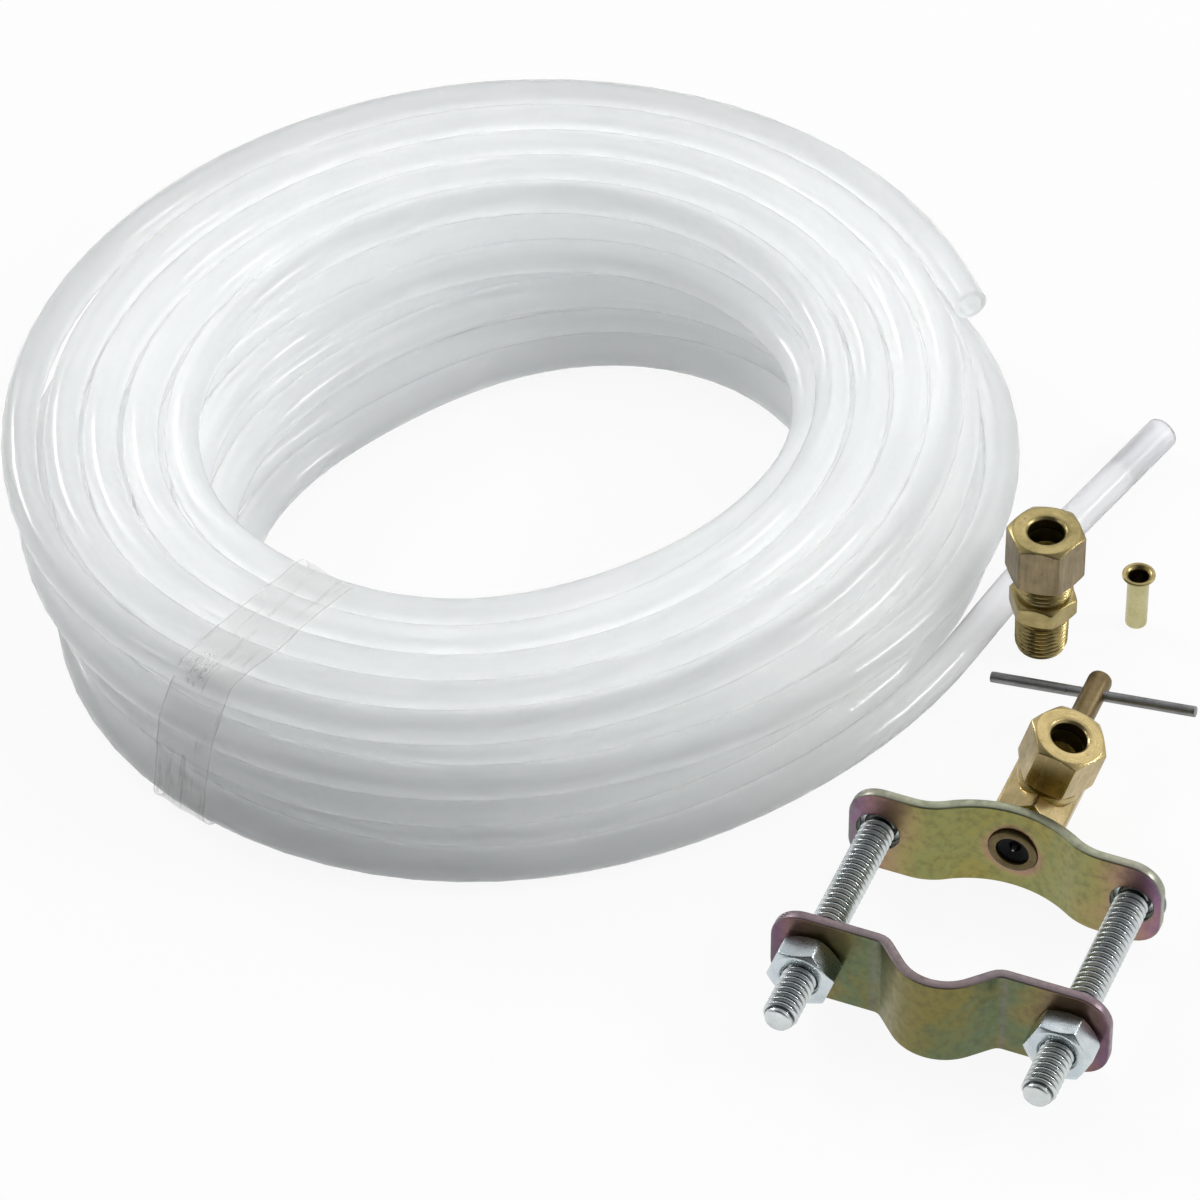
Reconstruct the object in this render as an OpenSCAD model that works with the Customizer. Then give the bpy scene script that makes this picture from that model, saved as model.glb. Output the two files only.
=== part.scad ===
// Water line kit: a coil of plastic tubing with a taped bundle, a compression
// fitting, a tube insert and a self-piercing saddle valve with its T-bar handle.
// Millimetres, +Z up, everything rests on z = 0. The valve's brackets run along X
// and its stem along +Y.

/* [Tubing] */
// Outside diameter of the tubing
tube_od = 6.35; // [5.8:0.05:6.6]
// Bore of the tubing
tube_id = 4.3; // [4.15:0.05:5]

/* [Coil] */
// Loops in one layer of the coil
loops_per_layer = 5; // [4:1:6]
// Layers in the coil
coil_layers = 4; // [2:2:4]
// Centre line radius of the innermost loop
coil_inner_r = 49.3; // [45:0.1:60]
// Space between two loops of a layer
loop_gap = 0.8; // [0.8:0.1:2]
// Space between two layers
layer_gap = 0.95; // [0.9:0.05:2]
// Growth of the loops' radius from the lowest layer to the top one
layer_growth = 4; // [0:0.5:5]
// How far the lowest layer is squeezed out of round
oval_low = 7.3; // [4:0.1:8]
// How far the top layer is squeezed out of round
oval_top = 3.8; // [2:0.1:5]
// Direction of the long axis of the oval
oval_angle = 61.5; // [40:0.5:80]
// Share by which the bundle is wider on one side
uneven = 0.03; // [0:0.01:0.04]
// Direction of the wide side of the bundle
uneven_angle = 158; // [120:1:200]
// Shift of the top layer against the lowest one along X
lean_x = -12; // [-13:0.5:-8]
// Shift of the top layer against the lowest one along Y
lean_y = 8; // [4:0.5:8.5]
// Direction in which the tubing enters the lowest layer
start_angle = 2; // [-4:1:6]
// Direction of the tubing's upper end
end_angle = 44; // [38:1:50]

/* [Tape] */
// Width of the tape band
tape_w = 12; // [8:1:14]
// Thickness of the wound tape
tape_t = 0.3; // [0.2:0.05:0.5]
// Space between the tape and the tubing
tape_gap = 0.5; // [0.4:0.05:0.7]
// Direction of the tape seen from the coil's centre
tape_angle = 253; // [245:1:262]

/* [Compression fitting] */
// Width across the flats of the compression nut
fit_nut_af = 12.7; // [12:0.1:13.5]
// Length of the compression nut
fit_nut_l = 10; // [9.6:0.1:11]
// Width across the flats of the body's hexagon
fit_hex_af = 11.1; // [10.8:0.1:12.5]
// Height of the body's hexagon
fit_hex_h = 4.1; // [3.5:0.1:5]
// Diameter of the pipe thread end
pipe_d = 9.9; // [9.4:0.1:10.4]
// Length of the pipe thread end
pipe_l = 8.9; // [8:0.1:10]
// Bore of the pipe thread end
pipe_bore_d = 5; // [4:0.1:6]
// Visible thread between the hexagon and the nut
fit_neck_l = 5; // [4:0.1:6]
// Angle of one corner of the nut
fit_nut_turn = 9; // [0:1:59]
// Angle of one corner of the body's hexagon
fit_hex_turn = 4; // [0:1:59]

/* [Compression thread and sleeve] */
// Outside diameter of the compression thread
comp_thread_d = 10.8; // [10.4:0.1:11.1]
// Wall of the nut's end plate
nut_plate_t = 2.2; // [1.8:0.1:2.6]
// Space between the tubing and the nuts and sleeves
tube_fit_gap = 0.12; // [0.05:0.01:0.2]
// Length of a sleeve
sleeve_l = 3.2; // [2.8:0.1:3.4]
// Wall of a sleeve
sleeve_t = 0.8; // [0.6:0.1:1]

/* [Tube insert] */
// Length of the insert
insert_l = 12; // [9:0.5:15]
// Diameter of the insert's flange
insert_flange_d = 6.1; // [5.6:0.1:6.3]
// Thickness of the flange
insert_flange_t = 0.5; // [0.4:0.1:0.8]
// Wall of the insert
insert_t = 0.25; // [0.2:0.05:0.4]
// Space between the insert and the tubing's bore
insert_gap = 0.15; // [0.05:0.05:0.2]

/* [Saddle brackets] */
// Width of both brackets
bracket_w = 18; // [15:0.5:22]
// Thickness of both brackets
bracket_t = 2; // [1.6:0.1:2.5]
// Radius of the brackets' corners
bracket_corner_r = 6; // [3:0.5:7]
// Distance between the two bolts
bolt_spacing = 47; // [44:0.5:55]
// Upper bracket beyond each bolt
upper_margin = 5.5; // [5:0.5:9]
// Lower bracket beyond each bolt
lower_margin = 7.5; // [5:0.5:9]
// Bolt holes of the upper bracket
upper_hole_d = 8; // [7:0.1:8.5]
// Bolt holes of the lower bracket
lower_hole_d = 7.1; // [7:0.1:8]
// Rise of the upper bracket's arch
arch_rise = 5; // [4:0.1:6]
// Radius of the bends at the foot of the arch
arch_foot_r = 11; // [8:0.5:13]
// Depth of the lower bracket's dip
dip_depth = 6.8; // [5.5:0.1:8]
// Slope of the dip's flanks
dip_angle = 45; // [40:1:55]
// Radius of the bends at the edge of the dip
dip_edge_r = 3; // [2:0.25:3.5]
// Radius of the bottom of the dip
dip_round_r = 9; // [8:0.25:10]
// Gap between the brackets' flat ends
clamp_gap = 30.7; // [26:0.1:34]

/* [Bolts and nuts] */
// Diameter of the bolts
bolt_d = 6.25; // [6:0.05:6.35]
// Length of the bolts under the head
bolt_l = 50.8; // [48:0.1:57.2]
// Diameter of the bolt heads
bolt_head_d = 11.8; // [10.5:0.1:12.6]
// Height of the bolt heads
bolt_head_h = 3; // [2.5:0.1:4]
// Width of the screwdriver slots
slot_w = 1.6; // [1.2:0.1:2]
// Depth of the screwdriver slots
slot_depth = 1.4; // [1:0.1:1.8]
// Width across the flats of the nuts
nut_af = 11.1; // [10.6:0.1:11.6]
// Thickness of the nuts
nut_t = 5.5; // [4.8:0.1:5.8]
// Angle of one corner of the left nut
nut_left_turn = 12; // [0:1:59]
// Angle of one corner of the right nut
nut_right_turn = 4; // [0:1:59]

/* [Valve body] */
// Width across the flats of the body
body_af = 12.7; // [12:0.1:14]
// End of the body measured from the brackets' inner face
body_end = 30.5; // [29:0.1:33]
// Diameter of the spigot that holds the body in the arch
spigot_d = 9.2; // [8.6:0.1:10]
// Bore of the spigot
spigot_bore_d = 6.8; // [6.2:0.1:7.2]
// How far the spigot stands out inside the arch
spigot_lip = 0.8; // [0.4:0.1:1.2]
// Distance of the outlet's axis from the brackets' inner face
outlet_y = 18.4; // [18:0.1:19.5]
// Tilt of the outlet away from upright
outlet_tilt = 16; // [0:1:25]
// Distance of the outlet nut's face from the stem's axis
outlet_reach = 18; // [17.6:0.1:20]
// Width across the flats of the outlet nut
outlet_nut_af = 12.7; // [12:0.1:13.5]
// Length of the outlet nut
outlet_nut_l = 9.4; // [9:0.1:9.6]

/* [Stem and handle] */
// Diameter of the stem
stem_d = 4.5; // [4:0.1:5]
// End of the stem measured from the brackets' inner face
stem_end = 51; // [49:0.5:56]
// Diameter of the T-bar
bar_d = 2; // [1.8:0.1:2.4]
// Length of the T-bar
bar_l = 38.7; // [30:0.1:44]
// T-bar's distance from the stem's end
bar_inset = 4.5; // [3:0.1:6]
// Turn of the T-bar about the stem
bar_turn = 8; // [-20:1:20]
// Diameter of the piercing needle
needle_d = 2; // [1.8:0.1:2.4]
// Length of the needle's point
needle_point_l = 2.5; // [1.5:0.1:3.5]
// Thickness of the rubber gasket
gasket_t = 1.6; // [1:0.1:1.8]

/* [Clearances] */
// Running clearance of screwed and turning pieces
run_gap = 0.08; // [0.05:0.01:0.1]
// Space between pieces that move apart
part_gap = 0.3; // [0.25:0.01:0.4]
// Clearance of the spigot in its hole
spigot_gap = 0.05; // [0.03:0.01:0.1]
// Chamfer on the hexagons' corners
hex_chamfer = 0.9; // [0.5:0.1:1.2]

/* [Layout] */
// Coil's centre along X
coil_x = -26.2; // [-28:0.1:-23]
// Coil's centre along Y
coil_y = 4.5; // [2:0.1:8]
// Space between the tail and the fitting's pipe end
fitting_gap = 1.8; // [1.5:0.1:6]
// Fitting's place along the tail, from the coil's end
fitting_ahead = 4.6; // [2:0.1:7]
// Insert to the right of the fitting
insert_right = 14.1; // [12:0.1:20]
// Insert behind the fitting
insert_behind = 11.7; // [9:0.1:18]
// Valve to the right of the fitting
valve_right = 15.9; // [14:0.1:24]
// Brackets' inner face in front of the fitting
valve_front = 64.1; // [62:0.1:70]

/* [Hidden] */

$fn = 48;
eps = 0.01;

milky = [0.90, 0.93, 0.94];
film = [0.86, 0.87, 0.84];
brass = [0.76, 0.62, 0.34];
pale_brass = [0.80, 0.76, 0.50];
brown_brass = [0.58, 0.45, 0.27];
dichromate = [0.68, 0.64, 0.38];
zinc = [0.76, 0.79, 0.81];
steel = [0.48, 0.49, 0.51];
rubber = [0.08, 0.08, 0.10];

// Coil, as a function of the number of turns t from its lower end

rings_per_loop = 24;
coil_sides = 6;
climb_turns = 0.35;
lean_lag = -0.02;
lift_spread = 24;
lift_share = 1.45;
tube_r = tube_od / 2;
loop_step = tube_od + loop_gap;
layer_step = tube_od + layer_gap;
coil_turns = loops_per_layer * coil_layers - (end_angle - start_angle) / 360;
tape_lift = lift_share * (tape_gap + tape_t);

function ease(u) = u <= 0 ? 0 : u >= 1 ? 1 : u * u * (3 - 2 * u);
function sum(v, i = 0) = i < len(v) ? v[i] + sum(v, i + 1) : 0;
// Layers climbed after t turns, each near the turn where the spiral reverses
function climbed(t, lag = 0) =
    sum([for (k = [1:coil_layers - 1]) ease((t - k * loops_per_layer - lag) / climb_turns + 0.5)]);
// Loops between the inner edge and the strand: in, out, in and out again
function layer_of(t) = min(floor(t / loops_per_layer), coil_layers - 1);
function loops_out(t) =
    layer_of(t) % 2 == 0
        ? loops_per_layer * (layer_of(t) + 1) - t
        : t - loops_per_layer * layer_of(t);
function turn_angle(t) = start_angle - 360 * t;
function height_share(t) = climbed(t, lean_lag) / (coil_layers - 1);
function step_at(a) = loop_step * (1 + uneven * cos(a - uneven_angle));
function oval_at(t) = oval_low + (oval_top - oval_low) * height_share(t);
function radius_at(t) =
    coil_inner_r + layer_growth * height_share(t)
    + loops_out(t) * step_at(turn_angle(t))
    + oval_at(t) * cos(2 * (turn_angle(t) - oval_angle));
function off_tape(t) = let (d = turn_angle(t) - tape_angle) abs(d - 360 * round(d / 360));
function lift_at(t) = tape_lift * exp(-pow(off_tape(t) / lift_spread, 2));
function coil_at(t) = [
    coil_x + lean_x * (height_share(t) - 0.5) + radius_at(t) * cos(turn_angle(t)),
    coil_y + lean_y * (height_share(t) - 0.5) + radius_at(t) * sin(turn_angle(t)),
    tube_r + layer_step * climbed(t) + lift_at(t)
];

function unit(v) = v / norm(v);
small_turn = 0.01;
coil_start = coil_at(0);
coil_start_dir = unit(coil_start - coil_at(small_turn));
coil_end = coil_at(coil_turns);
coil_end_dir = unit(coil_end - coil_at(coil_turns - small_turn));
coil_steps = ceil(coil_turns * rings_per_loop);
coil_line = [for (i = [0:coil_steps]) coil_at(i * coil_turns / coil_steps)];
// Point on the straight runs between the rings, after t turns
function chord_at(t) =
    let (i = floor(t * coil_steps / coil_turns))
    let (share = t * coil_steps / coil_turns - i)
    (1 - share) * coil_line[i] + share * coil_line[i + 1];
coil_path = concat(
    [coil_start + coil_start_dir * tube_od],
    coil_line,
    [coil_end + coil_end_dir * tube_od]
);

// Least space between two strands, from points of the centre line
self_gap = min([
    for (i = [0:coil_steps])
        for (j = [i + round(0.6 * rings_per_loop):1:coil_steps])
            norm(coil_line[i] - coil_line[j])
]) - tube_od;
echo(str("least gap between the coil's strands: ", self_gap, " mm"));
echo(str("length of the coil's tubing: ",
    sum([for (i = [1:len(coil_path) - 1]) norm(coil_path[i] - coil_path[i - 1])]), " mm"));

// Tail, forward and to the right of the coil's lower end

tail_route = [[0, 0], [7, 0], [20, 0.2], [34, 1], [48, 2.1]];
tail_sides = 10;
tail_cut_l = 14;
tail_bore_l = 12;
tail_root = coil_path[0];
tail_forward = unit([coil_start_dir[0], coil_start_dir[1], 0]);
tail_right = [tail_forward[1], -tail_forward[0], 0];
tail_path = [for (p = tail_route) tail_root + tail_forward * p[0] + tail_right * p[1]];
tail_last = tail_path[len(tail_path) - 1];
tail_dir = unit(tail_last - tail_path[len(tail_path) - 2]);

// The loose pieces stand to the right of the coil, placed from its tail

fitting_side = tube_r + pipe_d / 2 + fitting_gap;
fitting_at = tail_root + tail_forward * fitting_ahead + tail_right * fitting_side;
fitting_x = fitting_at[0];
fitting_y = fitting_at[1];
insert_x = fitting_x + insert_right;
insert_y = fitting_y + insert_behind;
valve_x = fitting_x + valve_right;
valve_y = fitting_y - valve_front;

// Compression joint, used by the fitting and by the valve's outlet

comp_thread_r = comp_thread_d / 2;
tube_hole_r = tube_r + tube_fit_gap;
sleeve_r = tube_hole_r + sleeve_t;
sleeve_seat_l = 1.6;
nose_gap = 0.7;
mouth_chamfer = 0.4;

fit_top = pipe_l + fit_hex_h + fit_neck_l + fit_nut_l;
fit_nut_z = fit_top - fit_nut_l;
fit_sleeve_z = fit_top - nut_plate_t - part_gap - sleeve_l;
fit_nose_z = fit_sleeve_z - nose_gap;

// Saddle valve, in its own frame: origin on the inner face of the upper
// bracket's ends, between the bolts

axis_z = bracket_w / 2;
bolt_x = bolt_spacing / 2;
head_side_gap = 0.1;
arch_half = bolt_x - bolt_head_d / 2 - head_side_gap;
arch_sum_r = (pow(arch_rise, 2) + pow(arch_half, 2)) / (2 * arch_rise);
arch_crown_r = arch_sum_r - arch_foot_r;
arch_angle = asin(arch_half / arch_sum_r);
dip_flank_l = (dip_depth - (dip_edge_r + dip_round_r) * (1 - cos(dip_angle))) / sin(dip_angle);
dip_half = (dip_edge_r + dip_round_r) * sin(dip_angle) + dip_flank_l * cos(dip_angle);
upper_l = bolt_spacing + 2 * upper_margin;
lower_l = bolt_spacing + 2 * lower_margin;

crown_y = arch_rise + bracket_t;
seat_gap = 0.1;
neck_l = 2;
hex_y = crown_y + seat_gap + neck_l;
spigot_y = arch_rise - spigot_lip;
neck_r = spigot_d / 2 + 1.2;
outlet_hex_face = body_af / 2;
outlet_nut_d0 = outlet_reach - outlet_nut_l;
outlet_sleeve_d = outlet_reach - nut_plate_t - part_gap - sleeve_l;
outlet_nose_d = outlet_sleeve_d - nose_gap;
outlet_collar_r = 5.9;
outlet_collar_l = 0.9;
outlet_bore_r = 2.3;

needle_r = needle_d / 2;
stem_r = stem_d / 2;
stem_bore_r = stem_r + run_gap;
gasket_y = spigot_y + 0.8;
gasket_r = spigot_bore_d / 2 - run_gap;
gasket_hole_r = needle_r + run_gap;
needle_hole_r = needle_r + part_gap;
needle_tip_y = gasket_y - 0.4;
stem_start = 24;
stem_travel_in = 5.5;
needle_top_y = stem_start - seat_gap;
chamber_y = stem_start - stem_travel_in - 1.2;
seal_y = body_end - 4;
seal_l = 1.8;
seal_wall = 1;
bar_y = stem_end - bar_inset;

// Swept tube: rings of points square to a path, joined by triangles

function path_dir(p, i) = unit(p[min(i + 1, len(p) - 1)] - p[max(i - 1, 0)]);
function ring(c, d, r, sides) =
    let (side = unit(cross(d, [0, 0, 1])))
    let (up = cross(side, d))
    [for (k = [0:sides - 1]) c + r * (cos(90 + 360 * k / sides) * side + sin(90 + 360 * k / sides) * up)];
function fan(first, n, flip) =
    [for (k = [1:n - 2]) flip ? [first, first + k + 1, first + k] : [first, first + k, first + k + 1]];

module swept_tube(path, r, sides) {
    n = len(path);
    points = [for (i = [0:n - 1]) each ring(path[i], path_dir(path, i), r, sides)];
    walls = [
        for (i = [0:n - 2])
            for (k = [0:sides - 1])
                let (a = i * sides + k)
                let (b = i * sides + (k + 1) % sides)
                each [[a, b, b + sides], [a, b + sides, a + sides]]
    ];
    polyhedron(points, concat(walls, fan(0, sides, true), fan((n - 1) * sides, sides, false)));
}

module tube_coil() {
    color(milky)
        swept_tube(coil_path, tube_r, coil_sides);
}

module tube_tail() {
    overlap = 0.6;
    slim = 0.08;
    color(milky) {
        swept_tube(concat(tail_path, [tail_last + tail_dir * overlap]), tube_r - slim, tail_sides);
        translate(tail_last)
            rotate([0, 90, atan2(tail_dir[1], tail_dir[0])])
                difference() {
                    cylinder(r = tube_r, h = tail_cut_l);
                    translate([0, 0, tail_cut_l - tail_bore_l])
                        cylinder(d = tube_id, h = tail_bore_l + eps);
                }
    }
}

// Tape band, wound round the strands where they cross its plane

tape_sides = 24;
function tape_along(p) = (p[1] - coil_y) * cos(tape_angle) - (p[0] - coil_x) * sin(tape_angle);
function tape_across(p) = (p[0] - coil_x) * cos(tape_angle) + (p[1] - coil_y) * sin(tape_angle);
// Number of turns after which the strand of turn t crosses the tape's plane
function crossing(t, tries = 3) =
    tries == 0 ? t : crossing(t + tape_along(coil_at(t)) / (2 * PI * radius_at(t)), tries - 1);
first_crossing = (start_angle - tape_angle + 360) / 360;
// Strands where they enter the tape, cross its plane and leave it
crossings = [
    for (k = [0:floor(coil_turns - first_crossing)])
        for (side = [-0.5, -0.25, 0, 0.25, 0.5])
            let (t = crossing(first_crossing + k))
            chord_at(t + side * tape_w / (2 * PI * radius_at(t)))
];

module bundle_outline(clearance) {
    hull()
        for (p = crossings)
            translate([tape_across(p), p[2]])
                circle(r = tube_r + clearance, $fn = tape_sides);
}

module tape_band() {
    color(film)
        translate([coil_x, coil_y, 0])
            rotate([90, 0, tape_angle])
                translate([0, 0, -tape_w / 2])
                    linear_extrude(tape_w)
                        difference() {
                            bundle_outline(tape_gap + tape_t);
                            bundle_outline(tape_gap);
                        }
}

// Hexagon along Z from z = 0 to h with its corners turned off at the top and bottom

module hexagon(af, h, chamfer_top = hex_chamfer, chamfer_bottom = hex_chamfer) {
    corner_r = af / 2 / cos(30);
    top_r = af / 2 - (chamfer_top > 0 ? 0.1 : -1);
    bottom_r = af / 2 - (chamfer_bottom > 0 ? 0.1 : -1);
    intersection() {
        cylinder(r = corner_r, h = h, $fn = 6);
        rotate_extrude()
            polygon([
                [0, 0], [bottom_r, 0], [corner_r + 0.1, chamfer_bottom],
                [corner_r + 0.1, h - chamfer_top], [top_r, h], [0, h]
            ]);
    }
}

// Compression nut: z = 0 is its open end, the tubing leaves through the plate at z = l

module compression_nut(af, l) {
    difference() {
        hexagon(af, l, hex_chamfer, hex_chamfer / 2);
        translate([0, 0, -eps])
            cylinder(r = comp_thread_r + run_gap, h = l - nut_plate_t + eps);
        cylinder(r = tube_hole_r, h = l + eps);
        translate([0, 0, l - mouth_chamfer])
            cylinder(r1 = tube_hole_r, r2 = tube_hole_r + mouth_chamfer + eps, h = mouth_chamfer + eps);
    }
}

// Compression sleeve: a short brass barrel round the tubing

module compression_sleeve() {
    edge = sleeve_t / 2;
    rotate_extrude()
        polygon([
            [tube_hole_r, 0], [sleeve_r - edge, 0], [sleeve_r, edge],
            [sleeve_r, sleeve_l - edge], [sleeve_r - edge, sleeve_l], [tube_hole_r, sleeve_l]
        ]);
}

// Nose that the sleeve is pressed into: a thread with a tapered mouth, its end at z = l

module compression_nose(l) {
    difference() {
        cylinder(r = comp_thread_r, h = l);
        translate([0, 0, l - sleeve_seat_l])
            cylinder(r1 = tube_hole_r, r2 = sleeve_r + part_gap, h = sleeve_seat_l + eps);
    }
}

// Fitting body: pipe end, hexagon and nose, bored right through

module fitting_body() {
    pipe_r = pipe_d / 2;
    chamfer = 0.6;
    groove_l = 1;
    groove_r = comp_thread_r - 0.7;
    stop_z = fit_nose_z - sleeve_seat_l - 1.5;
    color(brass)
        translate([fitting_x, fitting_y, 0])
            difference() {
                union() {
                    cylinder(r1 = pipe_r - chamfer, r2 = pipe_r, h = chamfer);
                    translate([0, 0, chamfer])
                        cylinder(r = pipe_r, h = pipe_l - chamfer);
                    translate([0, 0, pipe_l])
                        rotate([0, 0, fit_hex_turn])
                            hexagon(fit_hex_af, fit_hex_h);
                    translate([0, 0, pipe_l + fit_hex_h])
                        cylinder(r = groove_r, h = groove_l);
                    translate([0, 0, pipe_l + fit_hex_h + groove_l])
                        compression_nose(fit_nose_z - pipe_l - fit_hex_h - groove_l);
                }
                translate([0, 0, -eps])
                    cylinder(d = pipe_bore_d, h = fit_nose_z);
                translate([0, 0, stop_z])
                    cylinder(r = tube_hole_r, h = fit_nose_z - stop_z);
            }
}

module fitting_sleeve() {
    color(pale_brass)
        translate([fitting_x, fitting_y, fit_sleeve_z])
            compression_sleeve();
}

module fitting_nut() {
    color(brass)
        translate([fitting_x, fitting_y, fit_nut_z])
            rotate([0, 0, fit_nut_turn])
                compression_nut(fit_nut_af, fit_nut_l);
}

// Tube insert: a thin barrel with a flange, standing on its plain end

module tube_insert() {
    barrel_r = tube_id / 2 - insert_gap;
    bore_r = barrel_r - insert_t;
    flare = 0.5;
    tuck = 0.15;
    flange_z = insert_l - insert_flange_t;
    color(pale_brass)
        translate([insert_x, insert_y, 0])
            rotate_extrude()
                polygon([
                    [bore_r, 0], [barrel_r - tuck, 0], [barrel_r, 3 * tuck],
                    [barrel_r, flange_z], [insert_flange_d / 2, flange_z],
                    [insert_flange_d / 2, insert_l], [bore_r + flare, insert_l],
                    [bore_r, insert_l - flare]
                ]);
}

// Strip bent in the XY plane. Each step of the plan is [length, radius, turn]: a
// straight run when its radius is 0, otherwise an arc turned left (+) or right (-)

arc_steps = 8;
function heading_vec(a) = [cos(a), sin(a)];
function run_step(s, pos, a) =
    s[1] == 0
        ? [[pos + s[0] * heading_vec(a), a]]
        : [for (k = [1:arc_steps])
            let (part = s[2] * k / arc_steps)
            let (side = s[2] > 0 ? 1 : -1)
            let (centre = pos + side * s[1] * heading_vec(a + 90))
            [centre - side * s[1] * heading_vec(a + part + 90), a + part]];
function run_plan(plan, pos, a, i = 0) =
    i == len(plan)
        ? []
        : let (done = run_step(plan[i], pos, a))
          let (last = done[len(done) - 1])
          concat(done, run_plan(plan, last[0], last[1], i + 1));

module strip(plan, start) {
    line = concat([[start, 0]], run_plan(plan, start, 0));
    half = bracket_t / 2;
    left = [for (p = line) p[0] + half * heading_vec(p[1] + 90)];
    right = [for (p = line) p[0] - half * heading_vec(p[1] + 90)];
    linear_extrude(bracket_w)
        polygon(concat(left, [for (i = [len(right) - 1:-1:0]) right[i]]));
}

// Rounded outline of a bracket seen along Y, cut from y = -depth to +depth

module rounded_blank(l, depth) {
    r = bracket_corner_r;
    translate([0, depth, 0])
        rotate([90, 0, 0])
            linear_extrude(2 * depth)
                union() {
                    translate([-l / 2 + r, 0])
                        square([l - 2 * r, bracket_w]);
                    translate([-l / 2, r])
                        square([l, bracket_w - 2 * r]);
                    for (x = [-l / 2 + r, l / 2 - r])
                        for (z = [r, bracket_w - r])
                            translate([x, z])
                                circle(r = r);
                }
}

// Cylinder along +Y on the axis height, from y0 to y1

module y_cylinder(x, y0, y1, r) {
    translate([x, y0, axis_z])
        rotate([-90, 0, 0])
            cylinder(r = r, h = y1 - y0);
}

module at_valve() {
    translate([valve_x, valve_y, 0])
        children();
}

module upper_bracket() {
    end_run = upper_l / 2 - arch_half;
    reach = 2 * (arch_rise + bracket_t);
    color(dichromate)
        at_valve()
            difference() {
                intersection() {
                    strip([
                        [end_run, 0, 0],
                        [0, arch_foot_r, arch_angle],
                        [0, arch_crown_r, -2 * arch_angle],
                        [0, arch_foot_r, arch_angle],
                        [end_run, 0, 0]
                    ], [-upper_l / 2, bracket_t / 2]);
                    rounded_blank(upper_l, reach);
                }
                for (x = [-bolt_x, bolt_x])
                    y_cylinder(x, -1, bracket_t + 1, upper_hole_d / 2);
                y_cylinder(0, 0, crown_y + 1, spigot_d / 2 + spigot_gap);
            }
}

module lower_bracket() {
    inner_y = -clamp_gap;
    end_run = lower_l / 2 - dip_half;
    reach = clamp_gap + dip_depth + 2 * bracket_t;
    color(dichromate)
        at_valve()
            difference() {
                intersection() {
                    strip([
                        [end_run, 0, 0],
                        [0, dip_edge_r, -dip_angle],
                        [dip_flank_l, 0, 0],
                        [0, dip_round_r, 2 * dip_angle],
                        [dip_flank_l, 0, 0],
                        [0, dip_edge_r, -dip_angle],
                        [end_run, 0, 0]
                    ], [-lower_l / 2, inner_y - bracket_t / 2]);
                    rounded_blank(lower_l, reach);
                }
                for (x = [-bolt_x, bolt_x])
                    y_cylinder(x, inner_y - bracket_t - 1, inner_y + 1, lower_hole_d / 2);
            }
}

// Round-headed machine bolt, its head seated on the upper bracket's outer face

module bolt(x) {
    r = bolt_d / 2;
    point = 0.8;
    head_r = bolt_head_d / 2;
    dome_r = (pow(head_r, 2) + pow(bolt_head_h, 2)) / (2 * bolt_head_h);
    color(zinc)
        at_valve()
            translate([x, bracket_t, axis_z])
                rotate([-90, 0, 0])
                    difference() {
                        union() {
                            intersection() {
                                translate([0, 0, bolt_head_h - dome_r])
                                    sphere(r = dome_r, $fn = 64);
                                cylinder(r = head_r + 1, h = bolt_head_h);
                            }
                            translate([0, 0, -bolt_l + point])
                                cylinder(r = r, h = bolt_l - point);
                            translate([0, 0, -bolt_l])
                                cylinder(r1 = r - point, r2 = r, h = point);
                        }
                        translate([-head_r, -slot_w / 2, bolt_head_h - slot_depth])
                            cube([2 * head_r, slot_w, slot_depth + eps]);
                    }
}

module bolt_left() {
    bolt(-bolt_x);
}

module bolt_right() {
    bolt(bolt_x);
}

module nut(x, turn) {
    color(zinc)
        at_valve()
            translate([x, -clamp_gap - bracket_t - part_gap, axis_z])
                rotate([90, 0, 0])
                    difference() {
                        rotate([0, 0, turn])
                            hexagon(nut_af, nut_t);
                        translate([0, 0, -eps])
                            cylinder(r = bolt_d / 2 + run_gap, h = nut_t + 2 * eps);
                    }
}

module nut_left() {
    nut(-bolt_x, nut_left_turn);
}

module nut_right() {
    nut(bolt_x, nut_right_turn);
}

// Frame of the outlet: z runs out along the outlet from the stem's axis

module at_outlet() {
    at_valve()
        translate([0, outlet_y, axis_z])
            rotate([0, outlet_tilt, 0])
                children();
}

module valve_body() {
    hex_l = body_end - hex_y;
    color(brass) {
        difference() {
            union() {
                at_valve() {
                    y_cylinder(0, spigot_y, hex_y, spigot_d / 2);
                    y_cylinder(0, crown_y + seat_gap, hex_y + eps, neck_r);
                    translate([0, hex_y, axis_z])
                        rotate([-90, 0, 0])
                            rotate([0, 0, -outlet_tilt])
                                hexagon(body_af, hex_l);
                }
                at_outlet() {
                    cylinder(r = comp_thread_r - 0.5, h = outlet_nut_d0);
                    translate([0, 0, outlet_hex_face])
                        cylinder(r = outlet_collar_r, h = outlet_collar_l);
                    translate([0, 0, outlet_nut_d0 - 1])
                        compression_nose(outlet_nose_d - outlet_nut_d0 + 1);
                }
            }
            at_valve() {
                y_cylinder(0, spigot_y - eps, gasket_y + gasket_t, spigot_bore_d / 2);
                y_cylinder(0, spigot_y, chamber_y + eps, needle_hole_r);
                y_cylinder(0, chamber_y, body_end + eps, stem_bore_r);
                y_cylinder(0, seal_y, seal_y + seal_l, stem_r + seal_wall);
            }
            at_outlet() {
                cylinder(r = outlet_bore_r, h = outlet_nose_d + eps);
                translate([0, 0, outlet_nose_d - sleeve_seat_l - 1.5])
                    cylinder(r = tube_hole_r, h = sleeve_seat_l + 1.5);
            }
        }
    }
}

module outlet_sleeve() {
    color(pale_brass)
        at_outlet()
            translate([0, 0, outlet_sleeve_d])
                compression_sleeve();
}

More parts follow.
